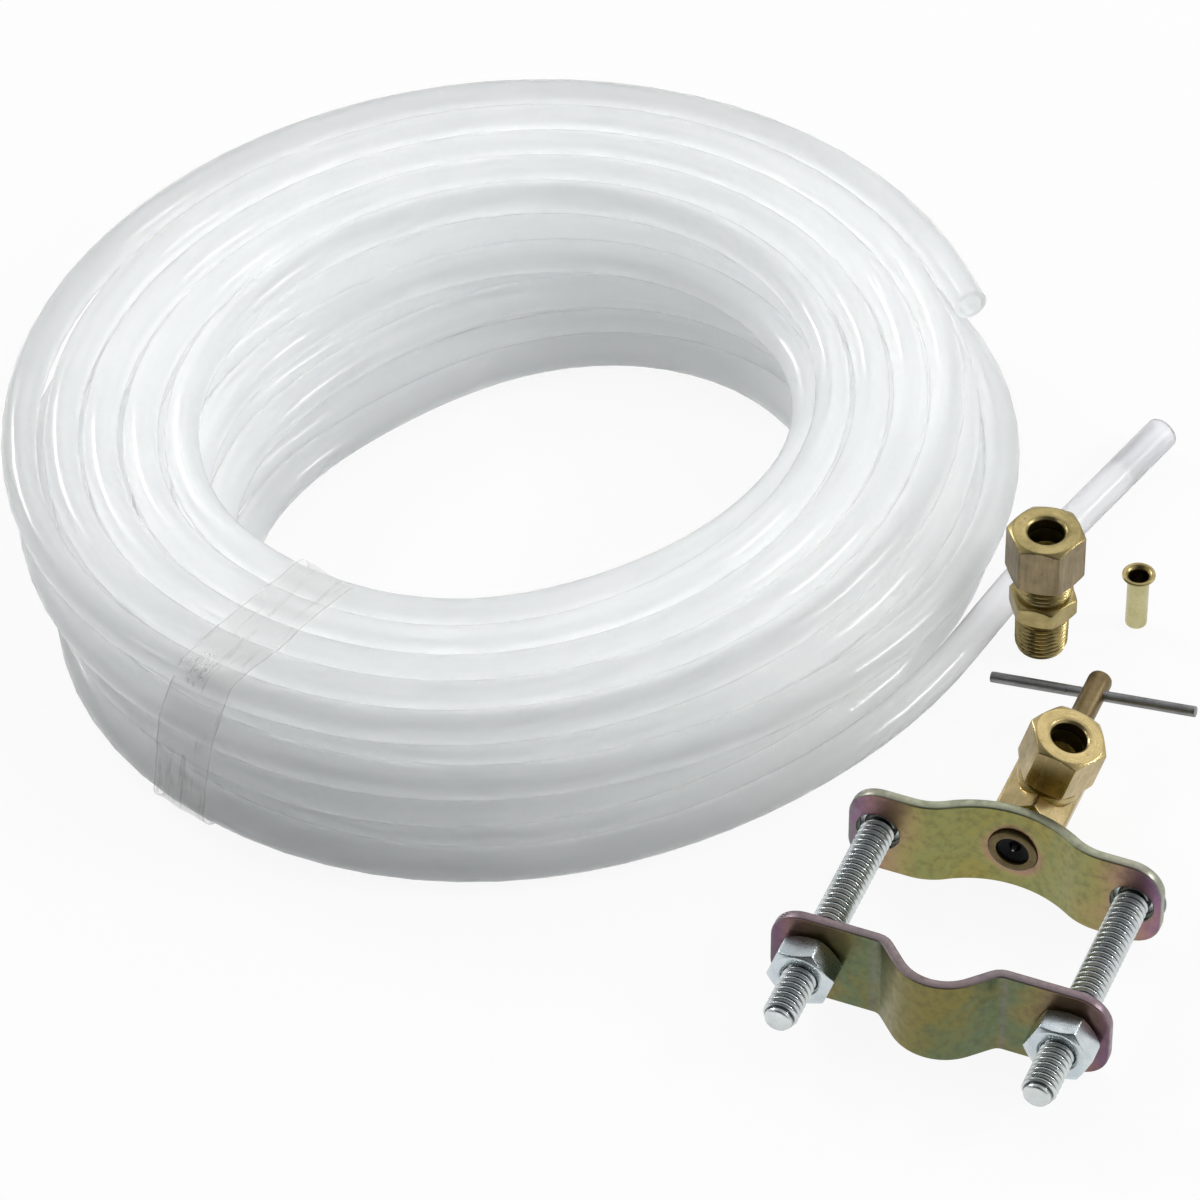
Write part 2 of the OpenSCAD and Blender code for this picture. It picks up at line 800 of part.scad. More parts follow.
module outlet_nut() {
    color(brass)
        at_outlet()
            translate([0, 0, outlet_nut_d0])
                compression_nut(outlet_nut_af, outlet_nut_l);
}

// Stem: a rod with a rounded end and a cross hole for the T-bar

module valve_stem() {
    round_l = 0.8;
    color(brown_brass)
        at_valve()
            difference() {
                translate([0, stem_start, axis_z])
                    rotate([-90, 0, 0])
                        union() {
                            cylinder(r = stem_r, h = stem_end - stem_start - round_l);
                            translate([0, 0, stem_end - stem_start - round_l])
                                cylinder(r1 = stem_r, r2 = stem_r - round_l, h = round_l);
                        }
                bar_frame()
                    cylinder(r = bar_d / 2 + spigot_gap, h = stem_d + 2, center = true);
            }
}

// Frame of the T-bar: z runs along the bar

module bar_frame() {
    translate([0, bar_y, axis_z])
        rotate([0, 90 - bar_turn, 0])
            children();
}

module t_bar() {
    color(steel)
        at_valve()
            bar_frame()
                cylinder(d = bar_d, h = bar_l, center = true);
}

module piercing_needle() {
    tip_r = 0.2;
    color(steel)
        at_valve()
            translate([0, needle_tip_y, axis_z])
                rotate([-90, 0, 0])
                    union() {
                        cylinder(r1 = tip_r, r2 = needle_r, h = needle_point_l);
                        translate([0, 0, needle_point_l])
                            cylinder(r = needle_r, h = needle_top_y - needle_tip_y - needle_point_l);
                    }
}

module stem_seal() {
    color(rubber)
        at_valve()
            difference() {
                y_cylinder(0, seal_y + run_gap, seal_y + seal_l - run_gap, stem_r + seal_wall - run_gap);
                y_cylinder(0, seal_y, seal_y + seal_l, stem_bore_r);
            }
}

module saddle_gasket() {
    color(rubber)
        at_valve()
            difference() {
                y_cylinder(0, gasket_y, gasket_y + gasket_t, gasket_r);
                y_cylinder(0, gasket_y - eps, gasket_y + gasket_t + eps, gasket_hole_r);
            }
}

tube_coil();
tube_tail();
tape_band();
fitting_body();
fitting_sleeve();
fitting_nut();
tube_insert();
upper_bracket();
lower_bracket();
bolt_left();
bolt_right();
nut_left();
nut_right();
valve_body();
valve_stem();
piercing_needle();
stem_seal();
saddle_gasket();
t_bar();
outlet_sleeve();
outlet_nut();
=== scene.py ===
import math

import bmesh
import bpy
from mathutils import Matrix, Vector


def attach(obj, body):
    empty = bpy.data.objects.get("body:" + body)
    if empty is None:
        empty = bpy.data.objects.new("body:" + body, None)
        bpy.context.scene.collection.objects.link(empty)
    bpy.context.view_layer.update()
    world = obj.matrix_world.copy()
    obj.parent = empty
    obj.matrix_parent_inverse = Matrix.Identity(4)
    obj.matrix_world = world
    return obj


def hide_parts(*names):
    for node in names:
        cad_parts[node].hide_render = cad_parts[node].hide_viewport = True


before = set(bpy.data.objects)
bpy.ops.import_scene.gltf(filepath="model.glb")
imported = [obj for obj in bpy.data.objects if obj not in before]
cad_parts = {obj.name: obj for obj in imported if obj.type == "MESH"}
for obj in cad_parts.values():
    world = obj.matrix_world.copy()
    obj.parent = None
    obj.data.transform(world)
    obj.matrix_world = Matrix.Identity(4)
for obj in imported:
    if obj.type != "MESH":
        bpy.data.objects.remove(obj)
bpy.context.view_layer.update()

MM = 0.001
TAU = 2 * math.pi
scene = bpy.context.scene
scene.view_settings.view_transform = "Standard"

# ---------------------------------------------------------------- sizes, in millimetres
# the four places on the floor
COIL = (-26.2, 4.5)
FITTING = (71.8901, 12.4572)
INSERT = (85.9901, 24.1572)
VALVE = (87.7901, -51.6428)

# tubing: outer radius and radius of the bore
TUBE_R = 3.175
TUBE_BORE = 2.15

# tape: its place round the coil in degrees, its width, and the cells of its mesh round and across
TAPE_ANGLE = 253.0
TAPE_WIDTH = 12.0
TAPE_CELLS, TAPE_ROWS = 160, 14

# compression nuts and the noses that they screw on
NUT_AF = 12.7
NUT_BORE = 5.48
TUBE_HOLE = 3.295
NOSE_R, NOSE_DEPTH, NOSE_PITCH = 5.38, 0.55, 1.06

# the fitting's hexagon and the clamp nuts, across the flats, and the rise of a hexagon's end cones
SMALL_AF = 11.1
CONE_SLOPE = 0.5774

# saddle valve: its axis above the floor, its bolts from the axis, and where their heads bear
AXIS_Z = 9.0
BOLT_X = 23.5
BOLT_Y = 2.0
BOLT_LENGTH = 50.8
BOLT_R, BOLT_DEPTH, BOLT_PITCH = 3.12, 0.66, 1.27
PLATE = 2.0
OUTLET_TILT = math.radians(16)
OUTLET_Y = 18.4
BAR_Y = 46.5
BAR_TURN = math.radians(8)


# ---------------------------------------------------------------- camera
def look_from(position, target, lens):
    cam = bpy.data.objects.new("view", bpy.data.cameras.new("view"))
    scene.collection.objects.link(cam)
    cam.location = Vector(position) * MM
    cam.rotation_euler = (Vector(target) - Vector(position)).to_track_quat("-Z", "Y").to_euler()
    cam.data.sensor_width = 36.0
    cam.data.lens = lens
    cam.data.clip_start = 0.05
    cam.data.clip_end = 20.0
    scene.camera = cam


look_from((398.1, -1007.4, 1042.0), (-6.1, -7.0, 0.0), 247.8)


# ---------------------------------------------------------------- mesh helpers
def face_out(bm):
    """A closed surface ends with its faces outwards."""
    if bm.calc_volume(signed=True) < 0:
        bmesh.ops.reverse_faces(bm, faces=bm.faces)


def add_mesh(name, points, faces, mat, sharp, uvs):
    """Points in millimetres, one material, edges sharper than the angle in degrees stay sharp."""
    me = bpy.data.meshes.new(name)
    me.from_pydata([(p[0] * MM, p[1] * MM, p[2] * MM) for p in points], [], faces)
    layer = me.uv_layers.new(name="along")
    layer.data.foreach_set("uv", [c for face in uvs for uv in face for c in uv])
    bm = bmesh.new()
    bm.from_mesh(me)
    bmesh.ops.remove_doubles(bm, verts=bm.verts, dist=2e-7)
    face_out(bm)
    bm.to_mesh(me)
    bm.free()
    me.polygons.foreach_set("use_smooth", [True] * len(me.polygons))
    me.set_sharp_from_angle(angle=math.radians(sharp))
    me.materials.append(mat)
    me.update()
    obj = bpy.data.objects.new(name, me)
    scene.collection.objects.link(obj)
    return obj


def join(name, parts):
    """One object of several, each keeping its materials."""
    bm = bmesh.new()
    mats = []
    for part in parts:
        me = part.data
        start = len(bm.faces)
        bm.from_mesh(me)
        bm.faces.ensure_lookup_table()
        mats += [m for m in me.materials if m not in mats]
        index = [mats.index(m) for m in me.materials]
        for f in bm.faces[start:]:
            f.material_index = index[f.material_index]
    out = bpy.data.meshes.new(name)
    bm.to_mesh(out)
    bm.free()
    for m in mats:
        out.materials.append(m)
    for part in parts:
        old = part.data
        bpy.data.objects.remove(part)
        bpy.data.meshes.remove(old)
    obj = bpy.data.objects.new(name, out)
    scene.collection.objects.link(obj)
    return obj


def value(v, a):
    """A number that may be given as a function of the angle."""
    return v(a) if callable(v) else v


def lathe(name, stations, n, place, mat, closed=True, sharp=40):
    """Rings round local z. A station is (radius, z), and the radius may be a function of the angle.

    The UVs run round in 30 parts and, in millimetres, along the profile at one angle.
    """
    points, faces, uvs = [], [], []
    rows = len(stations)
    run = [0.0]
    sample = 0.3
    for (r0, z0), (r1, z1) in zip(stations, stations[1:]):
        run.append(run[-1] + math.hypot(value(r1, sample) - value(r0, sample), z1 - z0))
    for r, z in stations:
        for i in range(n):
            a = TAU * i / n
            rr = value(r, a)
            points.append(place @ Vector((rr * math.cos(a), rr * math.sin(a), z)))
    last = rows if closed else rows - 1
    for j in range(last):
        k = (j + 1) % rows
        v0, v1 = run[j], run[k] if k else run[j] + 1.0
        for i in range(n):
            m = (i + 1) % n
            faces.append((j * n + i, j * n + m, k * n + m, k * n + i))
            u0, u1 = 30.0 * i / n, 30.0 * (i + 1) / n
            uvs.append(((u0, v0), (u1, v0), (u1, v1), (u0, v1)))
    if not closed:
        for j, flip in ((0, True), (rows - 1, False)):
            if value(stations[j][0], 0.0) > 0.02:
                loop = [j * n + i for i in range(n)]
                faces.append(tuple(reversed(loop)) if flip else tuple(loop))
                uvs.append(tuple((15.0, run[j]) for _ in range(n)))
    return add_mesh(name, points, faces, mat, sharp, uvs)


def rounded(profile, radius):
    """The open profile with its corners rounded, by a corner's third number where it has one."""
    steps = 3
    out = [profile[0][:2]]
    for i in range(1, len(profile) - 1):
        p = Vector(profile[i][:2])
        a, b = Vector(profile[i - 1][:2]) - p, Vector(profile[i + 1][:2]) - p
        r = profile[i][2] if len(profile[i]) > 2 else radius
        cut = min(r, a.length * 0.45, b.length * 0.45)
        s, e = p + a.normalized() * cut, p + b.normalized() * cut
        for k in range(steps + 1):
            t = k / steps
            q = s * (1 - t) ** 2 + p * 2 * t * (1 - t) + e * t * t
            out.append((q.x, q.y))
    out.append(profile[-1][:2])
    return out


def hex_radius(af, corner, turn):
    """Radius of a hexagon with rounded corners, one corner at the angle turn."""
    flat = af / 2
    d = (flat - corner) / math.cos(math.pi / 6)
    limit = math.atan2(corner * 0.5, d + corner * math.cos(math.pi / 6))

    def at(a):
        off = (a - turn + math.pi / 6) % (math.pi / 3) - math.pi / 6
        if abs(off) < limit:
            return d * math.cos(off) + math.sqrt(max(0.0, corner ** 2 - (d * math.sin(off)) ** 2))
        return flat / math.cos(math.pi / 6 - abs(off))
    return at


def hex_run(af, z0, z1, turn, low, high, corner):
    """Stations up a hexagon, its ends turned off by cones that start at the radii low and high."""
    shape = hex_radius(af, corner, turn)
    reach = af / 2 / math.cos(math.pi / 6) + 0.05
    cone, middle = 8, 6

    def capped(limit):
        return lambda a: min(shape(a), limit)
    out = []
    for k in range(cone + 1):
        r = low + (reach - low) * k / cone
        out.append((capped(r), z0 + (r - low) * CONE_SLOPE))
    first, final = out[-1][1], z1 - (reach - high) * CONE_SLOPE
    for k in range(1, middle):
        out.append((shape, first + (final - first) * k / middle))
    for k in range(cone, -1, -1):
        r = high + (reach - high) * k / cone
        out.append((capped(r), z1 - (r - high) * CONE_SLOPE))
    return out


def thread_run(major, depth, pitch, z0, z1, fade, per=8, taper=0.0):
    """Stations of a right-handed screw thread from z0 up to z1, per stations to a pitch.

    It fades in and out over the length fade and narrows downwards by taper.
    """
    flat = 0.16
    out = []
    steps = int(round((z1 - z0) / pitch * per))
    for j in range(steps + 1):
        z = z0 + (z1 - z0) * j / steps
        ends = min(1.0, (z - z0) / fade, (z1 - z) / fade)

        def r(a, z=z, ends=max(0.0, ends)):
            u = (z / pitch - a / TAU) % 1.0
            ridge = 1 - abs(2 * u - 1)
            ridge = min(1.0, max(0.0, (ridge - flat) / (1 - 2 * flat)))
            return major - depth + depth * ridge * ends - taper * (z1 - z)
        out.append((r, z))
    return out


ALONG_Y = Matrix.Rotation(-math.pi / 2, 4, "X")
AGAINST_Y = Matrix.Rotation(math.pi / 2, 4, "X")


def at_valve(x=0.0, y=0.0, z=AXIS_Z):
    return Matrix.Translation((VALVE[0] + x, VALVE[1] + y, z))


def at_outlet():
    return at_valve(0, OUTLET_Y) @ Matrix.Rotation(OUTLET_TILT, 4, "Y")


# ---------------------------------------------------------------- material helpers
class Nodes:
    """A new material and short ways to build its nodes."""

    def __init__(self, name):
        self.mat = bpy.data.materials.new(name)
        self.mat.use_nodes = True
        self.tree = self.mat.node_tree
        self.tree.nodes.clear()
        self.out = self.add("ShaderNodeOutputMaterial")

    def add(self, kind, **props):
        node = self.tree.nodes.new(kind)
        for key, val in props.items():
            setattr(node, key, val)
        return node

    def link(self, a, b):
        self.tree.links.new(a, b)

    def coords(self, which="Object", scale=(1, 1, 1)):
        tc = self.add("ShaderNodeTexCoord")
        mp = self.add("ShaderNodeMapping")
        mp.inputs["Scale"].default_value = scale
        self.link(tc.outputs[which], mp.inputs["Vector"])
        return mp.outputs["Vector"]

    def noise(self, vector, scale, detail=4.0, rough=0.55, distort=0.0):
        n = self.add("ShaderNodeTexNoise")
        n.inputs["Scale"].default_value = scale
        n.inputs["Detail"].default_value = detail
        n.inputs["Roughness"].default_value = rough
        n.inputs["Distortion"].default_value = distort
        self.link(vector, n.inputs["Vector"])
        return n.outputs["Fac"]

    def ramp(self, fac, stops):
        r = self.add("ShaderNodeValToRGB")
        els = r.color_ramp.elements
        while len(els) > 1:
            els.remove(els[-1])
        els[0].position, els[0].color = stops[0][0], rgba(stops[0][1])
        for pos, col in stops[1:]:
            e = els.new(pos)
            e.color = rgba(col)
        self.link(fac, r.inputs["Fac"])
        return r.outputs["Color"]

    def remap(self, fac, lo, hi, to_lo, to_hi):
        m = self.add("ShaderNodeMapRange")
        m.inputs["From Min"].default_value = lo
        m.inputs["From Max"].default_value = hi
        m.inputs["To Min"].default_value = to_lo
        m.inputs["To Max"].default_value = to_hi
        self.link(fac, m.inputs["Value"])
        return m.outputs["Result"]

    def math(self, op, *values):
        m = self.add("ShaderNodeMath", operation=op)
        for socket, v in zip(m.inputs, values):
            if isinstance(v, (int, float)):
                socket.default_value = v
            else:
                self.link(v, socket)
        return m.outputs["Value"]

    def split(self, vector):
        sep = self.add("ShaderNodeSeparateXYZ")
        self.link(vector, sep.inputs["Vector"])
        return sep.outputs

    def mix(self, fac, a, b):
        m = self.add("ShaderNodeMix", data_type="RGBA")
        for socket, v in ((m.inputs[0], fac), (m.inputs[6], a), (m.inputs[7], b)):
            if isinstance(v, (int, float)):
                socket.default_value = v
            elif isinstance(v, tuple):
                socket.default_value = rgba(v)
            else:
                self.link(v, socket)
        return m.outputs[2]

    def bump(self, height, strength, distance):
        b = self.add("ShaderNodeBump")
        b.inputs["Strength"].default_value = strength
        b.inputs["Distance"].default_value = distance
        self.link(height, b.inputs["Height"])
        return b.outputs["Normal"]

    def principled(self, **values):
        p = self.add("ShaderNodeBsdfPrincipled")
        for key, v in values.items():
            socket = p.inputs[key.replace("_", " ")]
            if isinstance(v, (int, float, tuple)):
                socket.default_value = v
            else:
                self.link(v, socket)
        self.link(p.outputs["BSDF"], self.out.inputs["Surface"])
        return p


def rgba(c):
    return (c[0], c[1], c[2], 1.0)


# ---------------------------------------------------------------- materials
def make_tubing():
    """Milky in the coil, where the strands light one another, and clearer in the loose tail.

    The first UV is the run in millimetres from the joint, below zero in the tail, and the change
    lies between clear and milky.
    """
    m = Nodes("milky_tubing")
    packed = m.split(m.coords("UV"))["X"]
    clear, milky = -8.0, 70.0
    obj = m.coords()
    cloud = m.noise(obj, 55.0, 3.0)
    fine = m.noise(obj, 900.0, 2.0)
    along = m.coords("UV", (0.004, 0.30, 1))
    streak = m.noise(along, 6.0, 4.0, 0.5)
    scuff = m.ramp(m.noise(along, 9.0, 8.0, 0.75, 0.6), ((0.68, (0, 0, 0)), (0.76, (1, 1, 1))))
    base = m.ramp(cloud, ((0.3, (0.82, 0.835, 0.832)), (0.7, (0.86, 0.87, 0.868))))
    base = m.mix(m.remap(streak, 0.35, 0.75, 0.0, 0.35), base, (0.79, 0.805, 0.808))
    base = m.mix(m.math("MULTIPLY", scuff, 0.07), base, (0.55, 0.55, 0.53))
    base = m.mix(m.remap(packed, clear, milky, 1.0, 0.0), base, (0.95, 0.953, 0.97))
    rough = m.remap(streak, 0.3, 0.7, 0.30, 0.38)
    height = m.math("ADD", m.math("MULTIPLY", streak, 0.7), m.math("MULTIPLY", fine, 0.3))
    m.principled(
        Base_Color=base, Roughness=rough, IOR=1.45, Subsurface_Weight=0.95,
        Subsurface_Radius=(1.0, 1.01, 1.02), Specular_IOR_Level=0.35,
        Subsurface_Scale=m.remap(packed, clear, milky, 0.003, 0.095),
        Transmission_Weight=m.remap(packed, clear, milky, 0.90, 0.22),
        Coat_Weight=0.4, Coat_Roughness=0.09,
        Normal=m.bump(height, 0.05, 0.0002),
    ).subsurface_method = "BURLEY"
    return m.mat


def bolt_valley_shade(m):
    """Mask of painted shade: 1 in the valleys of the bolts' threads and 0 on the crests and the
    tip.

    It goes by the distance from either bolt's axis, in the frame's own coordinates.
    """
    at = m.split(m.coords())
    off = m.math("ABSOLUTE", m.math("SUBTRACT", at["X"], VALVE[0] * MM))
    x = m.math("SUBTRACT", off, BOLT_X * MM)
    z = m.math("SUBTRACT", at["Z"], AXIS_Z * MM)
    r = m.math("SQRT", m.math("ADD", m.math("MULTIPLY", x, x), m.math("MULTIPLY", z, z)))
    valley, crest = 2.54 * MM, 2.78 * MM
    tip = (VALVE[1] + BOLT_Y - BOLT_LENGTH) * MM
    threaded = m.remap(at["Y"], tip + 0.5 * MM, tip + 0.8 * MM, 0.0, 1.0)
    return m.math("MULTIPLY", m.remap(r, valley, crest, 1.0, 0.0), threaded)


def metal(name, dark, light, rough, mark=(0.5, 9.0), depth=0.25, grime=None, tint=None,
          metallic=1.0, valley_shade=None):
    """Metal between two tones, with fine tool marks and soft patches of wear.

    mark scales the marks round and along a piece, depth is their bump, grime and tint colour
    spots and patches, and the last colour is painted shade in the valleys of the bolts' threads.
    """
    m = Nodes(name)
    marks = m.noise(m.coords("UV", (mark[0], mark[1], 1)), 1.0, 6.0, 0.65)
    obj = m.coords()
    patch = m.noise(obj, 220.0, 4.0, 0.6)
    spots = m.noise(obj, 900.0, 3.0, 0.6)
    base = m.mix(m.remap(patch, 0.32, 0.68, 0.0, 1.0), dark, light)
    base = m.mix(m.remap(marks, 0.3, 0.7, 0.0, 0.35), base, tuple(c * 0.62 for c in dark))
    if grime is not None:
        base = m.mix(m.remap(spots, 0.60, 0.74, 0.0, 0.55), base, grime)
    if tint is not None:
        base = m.mix(m.remap(m.noise(obj, 120.0, 2.0), 0.45, 0.7, 0.0, 0.45), base, tint)
    if valley_shade is not None:
        # painted shade in the valleys of the bolts' threads
        base = m.mix(bolt_valley_shade(m), base, valley_shade)
    height = m.math("ADD", m.math("MULTIPLY", marks, 0.8), m.math("MULTIPLY", spots, 0.2))
    m.principled(
        Base_Color=base, Metallic=metallic,
        Roughness=m.remap(marks, 0.25, 0.75, rough - 0.09, rough + 0.12),
        Normal=m.bump(height, depth, 0.00012),
    )
    return m.mat


def make_dichromate(name, edge, painted_light_level, middle=(0.26, 0.265, 0.09)):
    """Yellow zinc plating: olive and gold with pink and violet towards the ends and holes.

    The first UV is 1 at an end and near a hole, and the second is 1 on a plate's edge, where the
    edge colour is a painted highlight, and lower along the bends. The colours are scaled by a
    factor, painted light on the upper plate and painted shade on the lower.
    """
    m = Nodes(name)
    obj = m.coords()
    near_end, edge_highlight_mask = m.split(m.coords("UV"))[:2]
    drift = m.noise(obj, 60.0, 4.0, 0.55, 0.5)
    wide = m.noise(obj, 26.0, 3.0, 0.55, 0.5)
    fine = m.noise(obj, 650.0, 4.0, 0.6)
    phase = m.math("ADD", m.math("MULTIPLY", near_end, 0.42), m.math("MULTIPLY", drift, 0.34))
    phase = m.math("ADD", m.math("ADD", phase, 0.06), m.math("MULTIPLY", wide, 0.34))
    stops = (
        (0.24, (0.23, 0.23, 0.075)), (0.36, (0.31, 0.265, 0.075)), (0.43, (0.30, 0.26, 0.07)),
        (0.49, middle), (0.55, (0.32, 0.27, 0.095)), (0.64, (0.36, 0.23, 0.14)),
        (0.73, (0.32, 0.17, 0.18)), (0.82, (0.25, 0.13, 0.22)), (0.92, (0.16, 0.23, 0.18)),
    )
    # every colour scaled: painted light on the upper plate, painted shade on the lower
    colours = m.ramp(phase, tuple((at, tuple(c * painted_light_level for c in col)) for at, col in stops))
    # painted highlight on the plate's edges, and faintly along its bends
    colours = m.mix(m.math("MULTIPLY", edge_highlight_mask, 0.85), colours, edge)
    colours = m.mix(m.remap(fine, 0.45, 0.75, 0.0, 0.35), colours, (0.07, 0.07, 0.045))
    m.principled(
        Base_Color=colours, Metallic=0.85, Roughness=m.remap(fine, 0.3, 0.7, 0.30, 0.46),
        Normal=m.bump(fine, 0.18, 0.0001), Coat_Weight=0.15, Coat_Roughness=0.3,
    )
    return m.mat


def make_rubber():
    """Dull black rubber with a fine grain."""
    m = Nodes("black_rubber")
    grain = m.noise(m.coords(), 1400.0, 3.0)
    m.principled(
        Base_Color=m.ramp(grain, ((0.3, (0.004, 0.0045, 0.007)), (0.7, (0.010, 0.011, 0.016)))),
        Roughness=0.6, Specular_IOR_Level=0.2, Normal=m.bump(grain, 0.3, 0.0001),
    )
    return m.mat


def make_film():
    """Nearly clear film, whiter at rims and creases, with painted glints. The UVs count its cells
    round and across.
    """
    m = Nodes("tape_film")
    crease = m.noise(m.coords("UV", (0.055, 0.42, 1)), 1.0, 6.0, 0.6, 1.0)
    cloud = m.noise(m.coords(), 60.0, 3.0)
    around, across = m.split(m.coords("UV"))[:2]

    def away(axis, centre):
        return m.math("ABSOLUTE", m.math("SUBTRACT", axis, centre))
    rim = m.remap(away(across, TAPE_ROWS / 2), 6.6, 6.9, 0.0, 0.12)
    fold = m.remap(crease, 0.56, 0.70, 0.11, 0.24)
    # painted glints: white patches where the film turns over the bundle's outer edge
    spot = m.noise(m.coords("UV", (0.22, 0.55, 1)), 1.0, 3.0, 0.5, 1.6)
    turn = m.remap(away(around, 22.0), 4.0, 9.0, 1.0, 0.0)
    left = m.remap(away(across, 5.0), 2.0, 4.0, 1.0, 0.0)
    glint = m.remap(m.math("MULTIPLY", spot, m.math("MULTIPLY", turn, left)), 0.50, 0.55, 0.0, 1.0)
    tone = m.ramp(cloud, ((0.3, (0.86, 0.865, 0.835)), (0.7, (0.93, 0.935, 0.91))))
    # the glint mask whitens the colour and the film: a painted glint
    m.principled(
        Base_Color=m.mix(glint, tone, (0.98, 0.98, 0.98)),
        Roughness=m.remap(crease, 0.3, 0.7, 0.06, 0.16), IOR=1.5,
        Alpha=m.math("ADD", m.math("ADD", fold, rim), m.math("MULTIPLY", glint, 0.7)),
        Normal=m.bump(crease, 0.6, 0.001), Specular_IOR_Level=1.0,
    )
    return m.mat


TUBING = make_tubing()
FILM = make_film()
RUBBER = make_rubber()
BRASS = metal(
    "turned_brass", (0.45, 0.35, 0.155), (0.64, 0.50, 0.24), 0.28, grime=(0.22, 0.165, 0.07),
)
DULL_BRASS = metal(
    "dull_brass", (0.29, 0.235, 0.10), (0.50, 0.40, 0.18), 0.30, grime=(0.14, 0.105, 0.045),
)
# dark brass: painted shade in bores, seats and thread valleys, and the spigot ring, darker than the
# bar
DARK_AND_SHADED_BRASS = metal(
    "dark_brass_and_painted_shade", (0.10, 0.075, 0.035), (0.20, 0.155, 0.075), 0.36, grime=(0.04, 0.03, 0.015),
)
BROWN_BRASS = metal(
    "brown_brass", (0.17, 0.125, 0.06), (0.28, 0.21, 0.11), 0.38, (0.5, 7.0),
    grime=(0.10, 0.07, 0.04),
)
PALE_BRASS = metal("pale_brass", (0.46, 0.42, 0.21), (0.60, 0.55, 0.30), 0.28, (0.4, 5.0))
BRASS_FLATS = metal(
    "drawn_brass", (0.42, 0.325, 0.155), (0.62, 0.49, 0.26), 0.30, (2.2, 0.12), 0.3,
    grime=(0.20, 0.15, 0.08),
)
DULL_FLATS = metal(
    "dull_drawn_brass", (0.24, 0.19, 0.115), (0.38, 0.30, 0.18), 0.38, (2.2, 0.12), 0.3,
    grime=(0.13, 0.10, 0.06),
)
ZINC = metal(
    "zinc_plate", (0.56, 0.615, 0.635), (0.78, 0.83, 0.85), 0.24, (0.5, 6.0), 0.1,
    tint=(0.46, 0.57, 0.64),
)
# bolt threads: the yellow-green tint patches are painted reflection of the yellow plates, and the
# last colour is painted shade in the thread valleys
THREAD_ZINC = metal(
    "zinc_thread", (0.66, 0.70, 0.71), (0.84, 0.88, 0.89), 0.26, (0.1, 0.4), 0.02,
    tint=(0.70, 0.76, 0.68), metallic=0.88, valley_shade=(0.07, 0.08, 0.085),
)
STEEL = metal(
    "bar_steel", (0.22, 0.22, 0.22), (0.33, 0.33, 0.33), 0.40, (0.4, 3.0), 0.35,
    grime=(0.10, 0.10, 0.11),
)
# one plating for both brackets, painted lighter on the upper and darker, as shade, on the lower
LIT_UPPER_PLATE = make_dichromate("yellow_plate_upper_painted_light", (0.36, 0.38, 0.29), 1.1)
SHADED_LOWER_PLATE = make_dichromate("yellow_plate_lower_painted_shade", (0.25, 0.19, 0.22), 0.72, (0.19, 0.25, 0.12))


# ---------------------------------------------------------------- coil and tail of the tubing
LOOPS, LAYERS = 5, 4
FIRST_ANGLE, FINAL_ANGLE = 2.0, 44.0
TURNS = LOOPS * LAYERS - (FINAL_ANGLE - FIRST_ANGLE) / 360
LOOP_STEP = 2 * TUBE_R + 0.8
LAYER_STEP = 2 * TUBE_R + 0.95


def ease(u):
    """Smooth step from 0 to 1."""
    return 0.0 if u <= 0 else 1.0 if u >= 1 else u * u * (3 - 2 * u)


def climbed(t, lag=0.0):
    """Layers climbed after t turns, each climb taking 0.35 of a turn."""
    return sum(ease((t - k * LOOPS - lag) / 0.35 + 0.5) for k in range(1, LAYERS))


def coil_at(t):
    """Centre of the tubing after t turns from its lower end."""
    layer = min(int(t // LOOPS), LAYERS - 1)
    out = LOOPS * (layer + 1) - t if layer % 2 == 0 else t - LOOPS * layer
    angle = FIRST_ANGLE - 360.0 * t
    share = climbed(t, -0.02) / (LAYERS - 1)
    a = math.radians(angle)
    step = LOOP_STEP * (1 + 0.03 * math.cos(a - math.radians(158)))
    r = 49.3 + 4 * share + out * step + (7.3 - 3.5 * share) * math.cos(2 * (a - math.radians(61.5)))
    # the tape pulls the strands up a little where it goes round them
    off = (angle - TAPE_ANGLE) - 360 * round((angle - TAPE_ANGLE) / 360)
    lift = 1.16 * math.exp(-(off / 24.0) ** 2)
    return Vector((
        COIL[0] - 12 * (share - 0.5) + r * math.cos(a),
        COIL[1] + 8 * (share - 0.5) + r * math.sin(a),
        TUBE_R + LAYER_STEP * climbed(t) + lift,
    ))


def wander(t):
    """Small uneven lie of the hand-wound strands, sideways and upwards."""
    edge = ease(t / 0.3) * ease((TURNS - t) / 0.3)
    side = 0.16 * math.sin(2.1 * t + 0.7 * math.sin(5.3 * t))
    side += 0.12 * math.sin(TAU * t * 1.37 + 1.1)
    up = 0.10 + 0.06 * math.sin(TAU * t * 0.83) + 0.05 * math.sin(3.7 * t + 2.0)
    return side * edge, up * edge


def frame_at(d):
    """Unit vectors sideways and upwards across the heading d."""
    side = d.cross(Vector((0, 0, 1))).normalized()
    return side, side.cross(d).normalized()


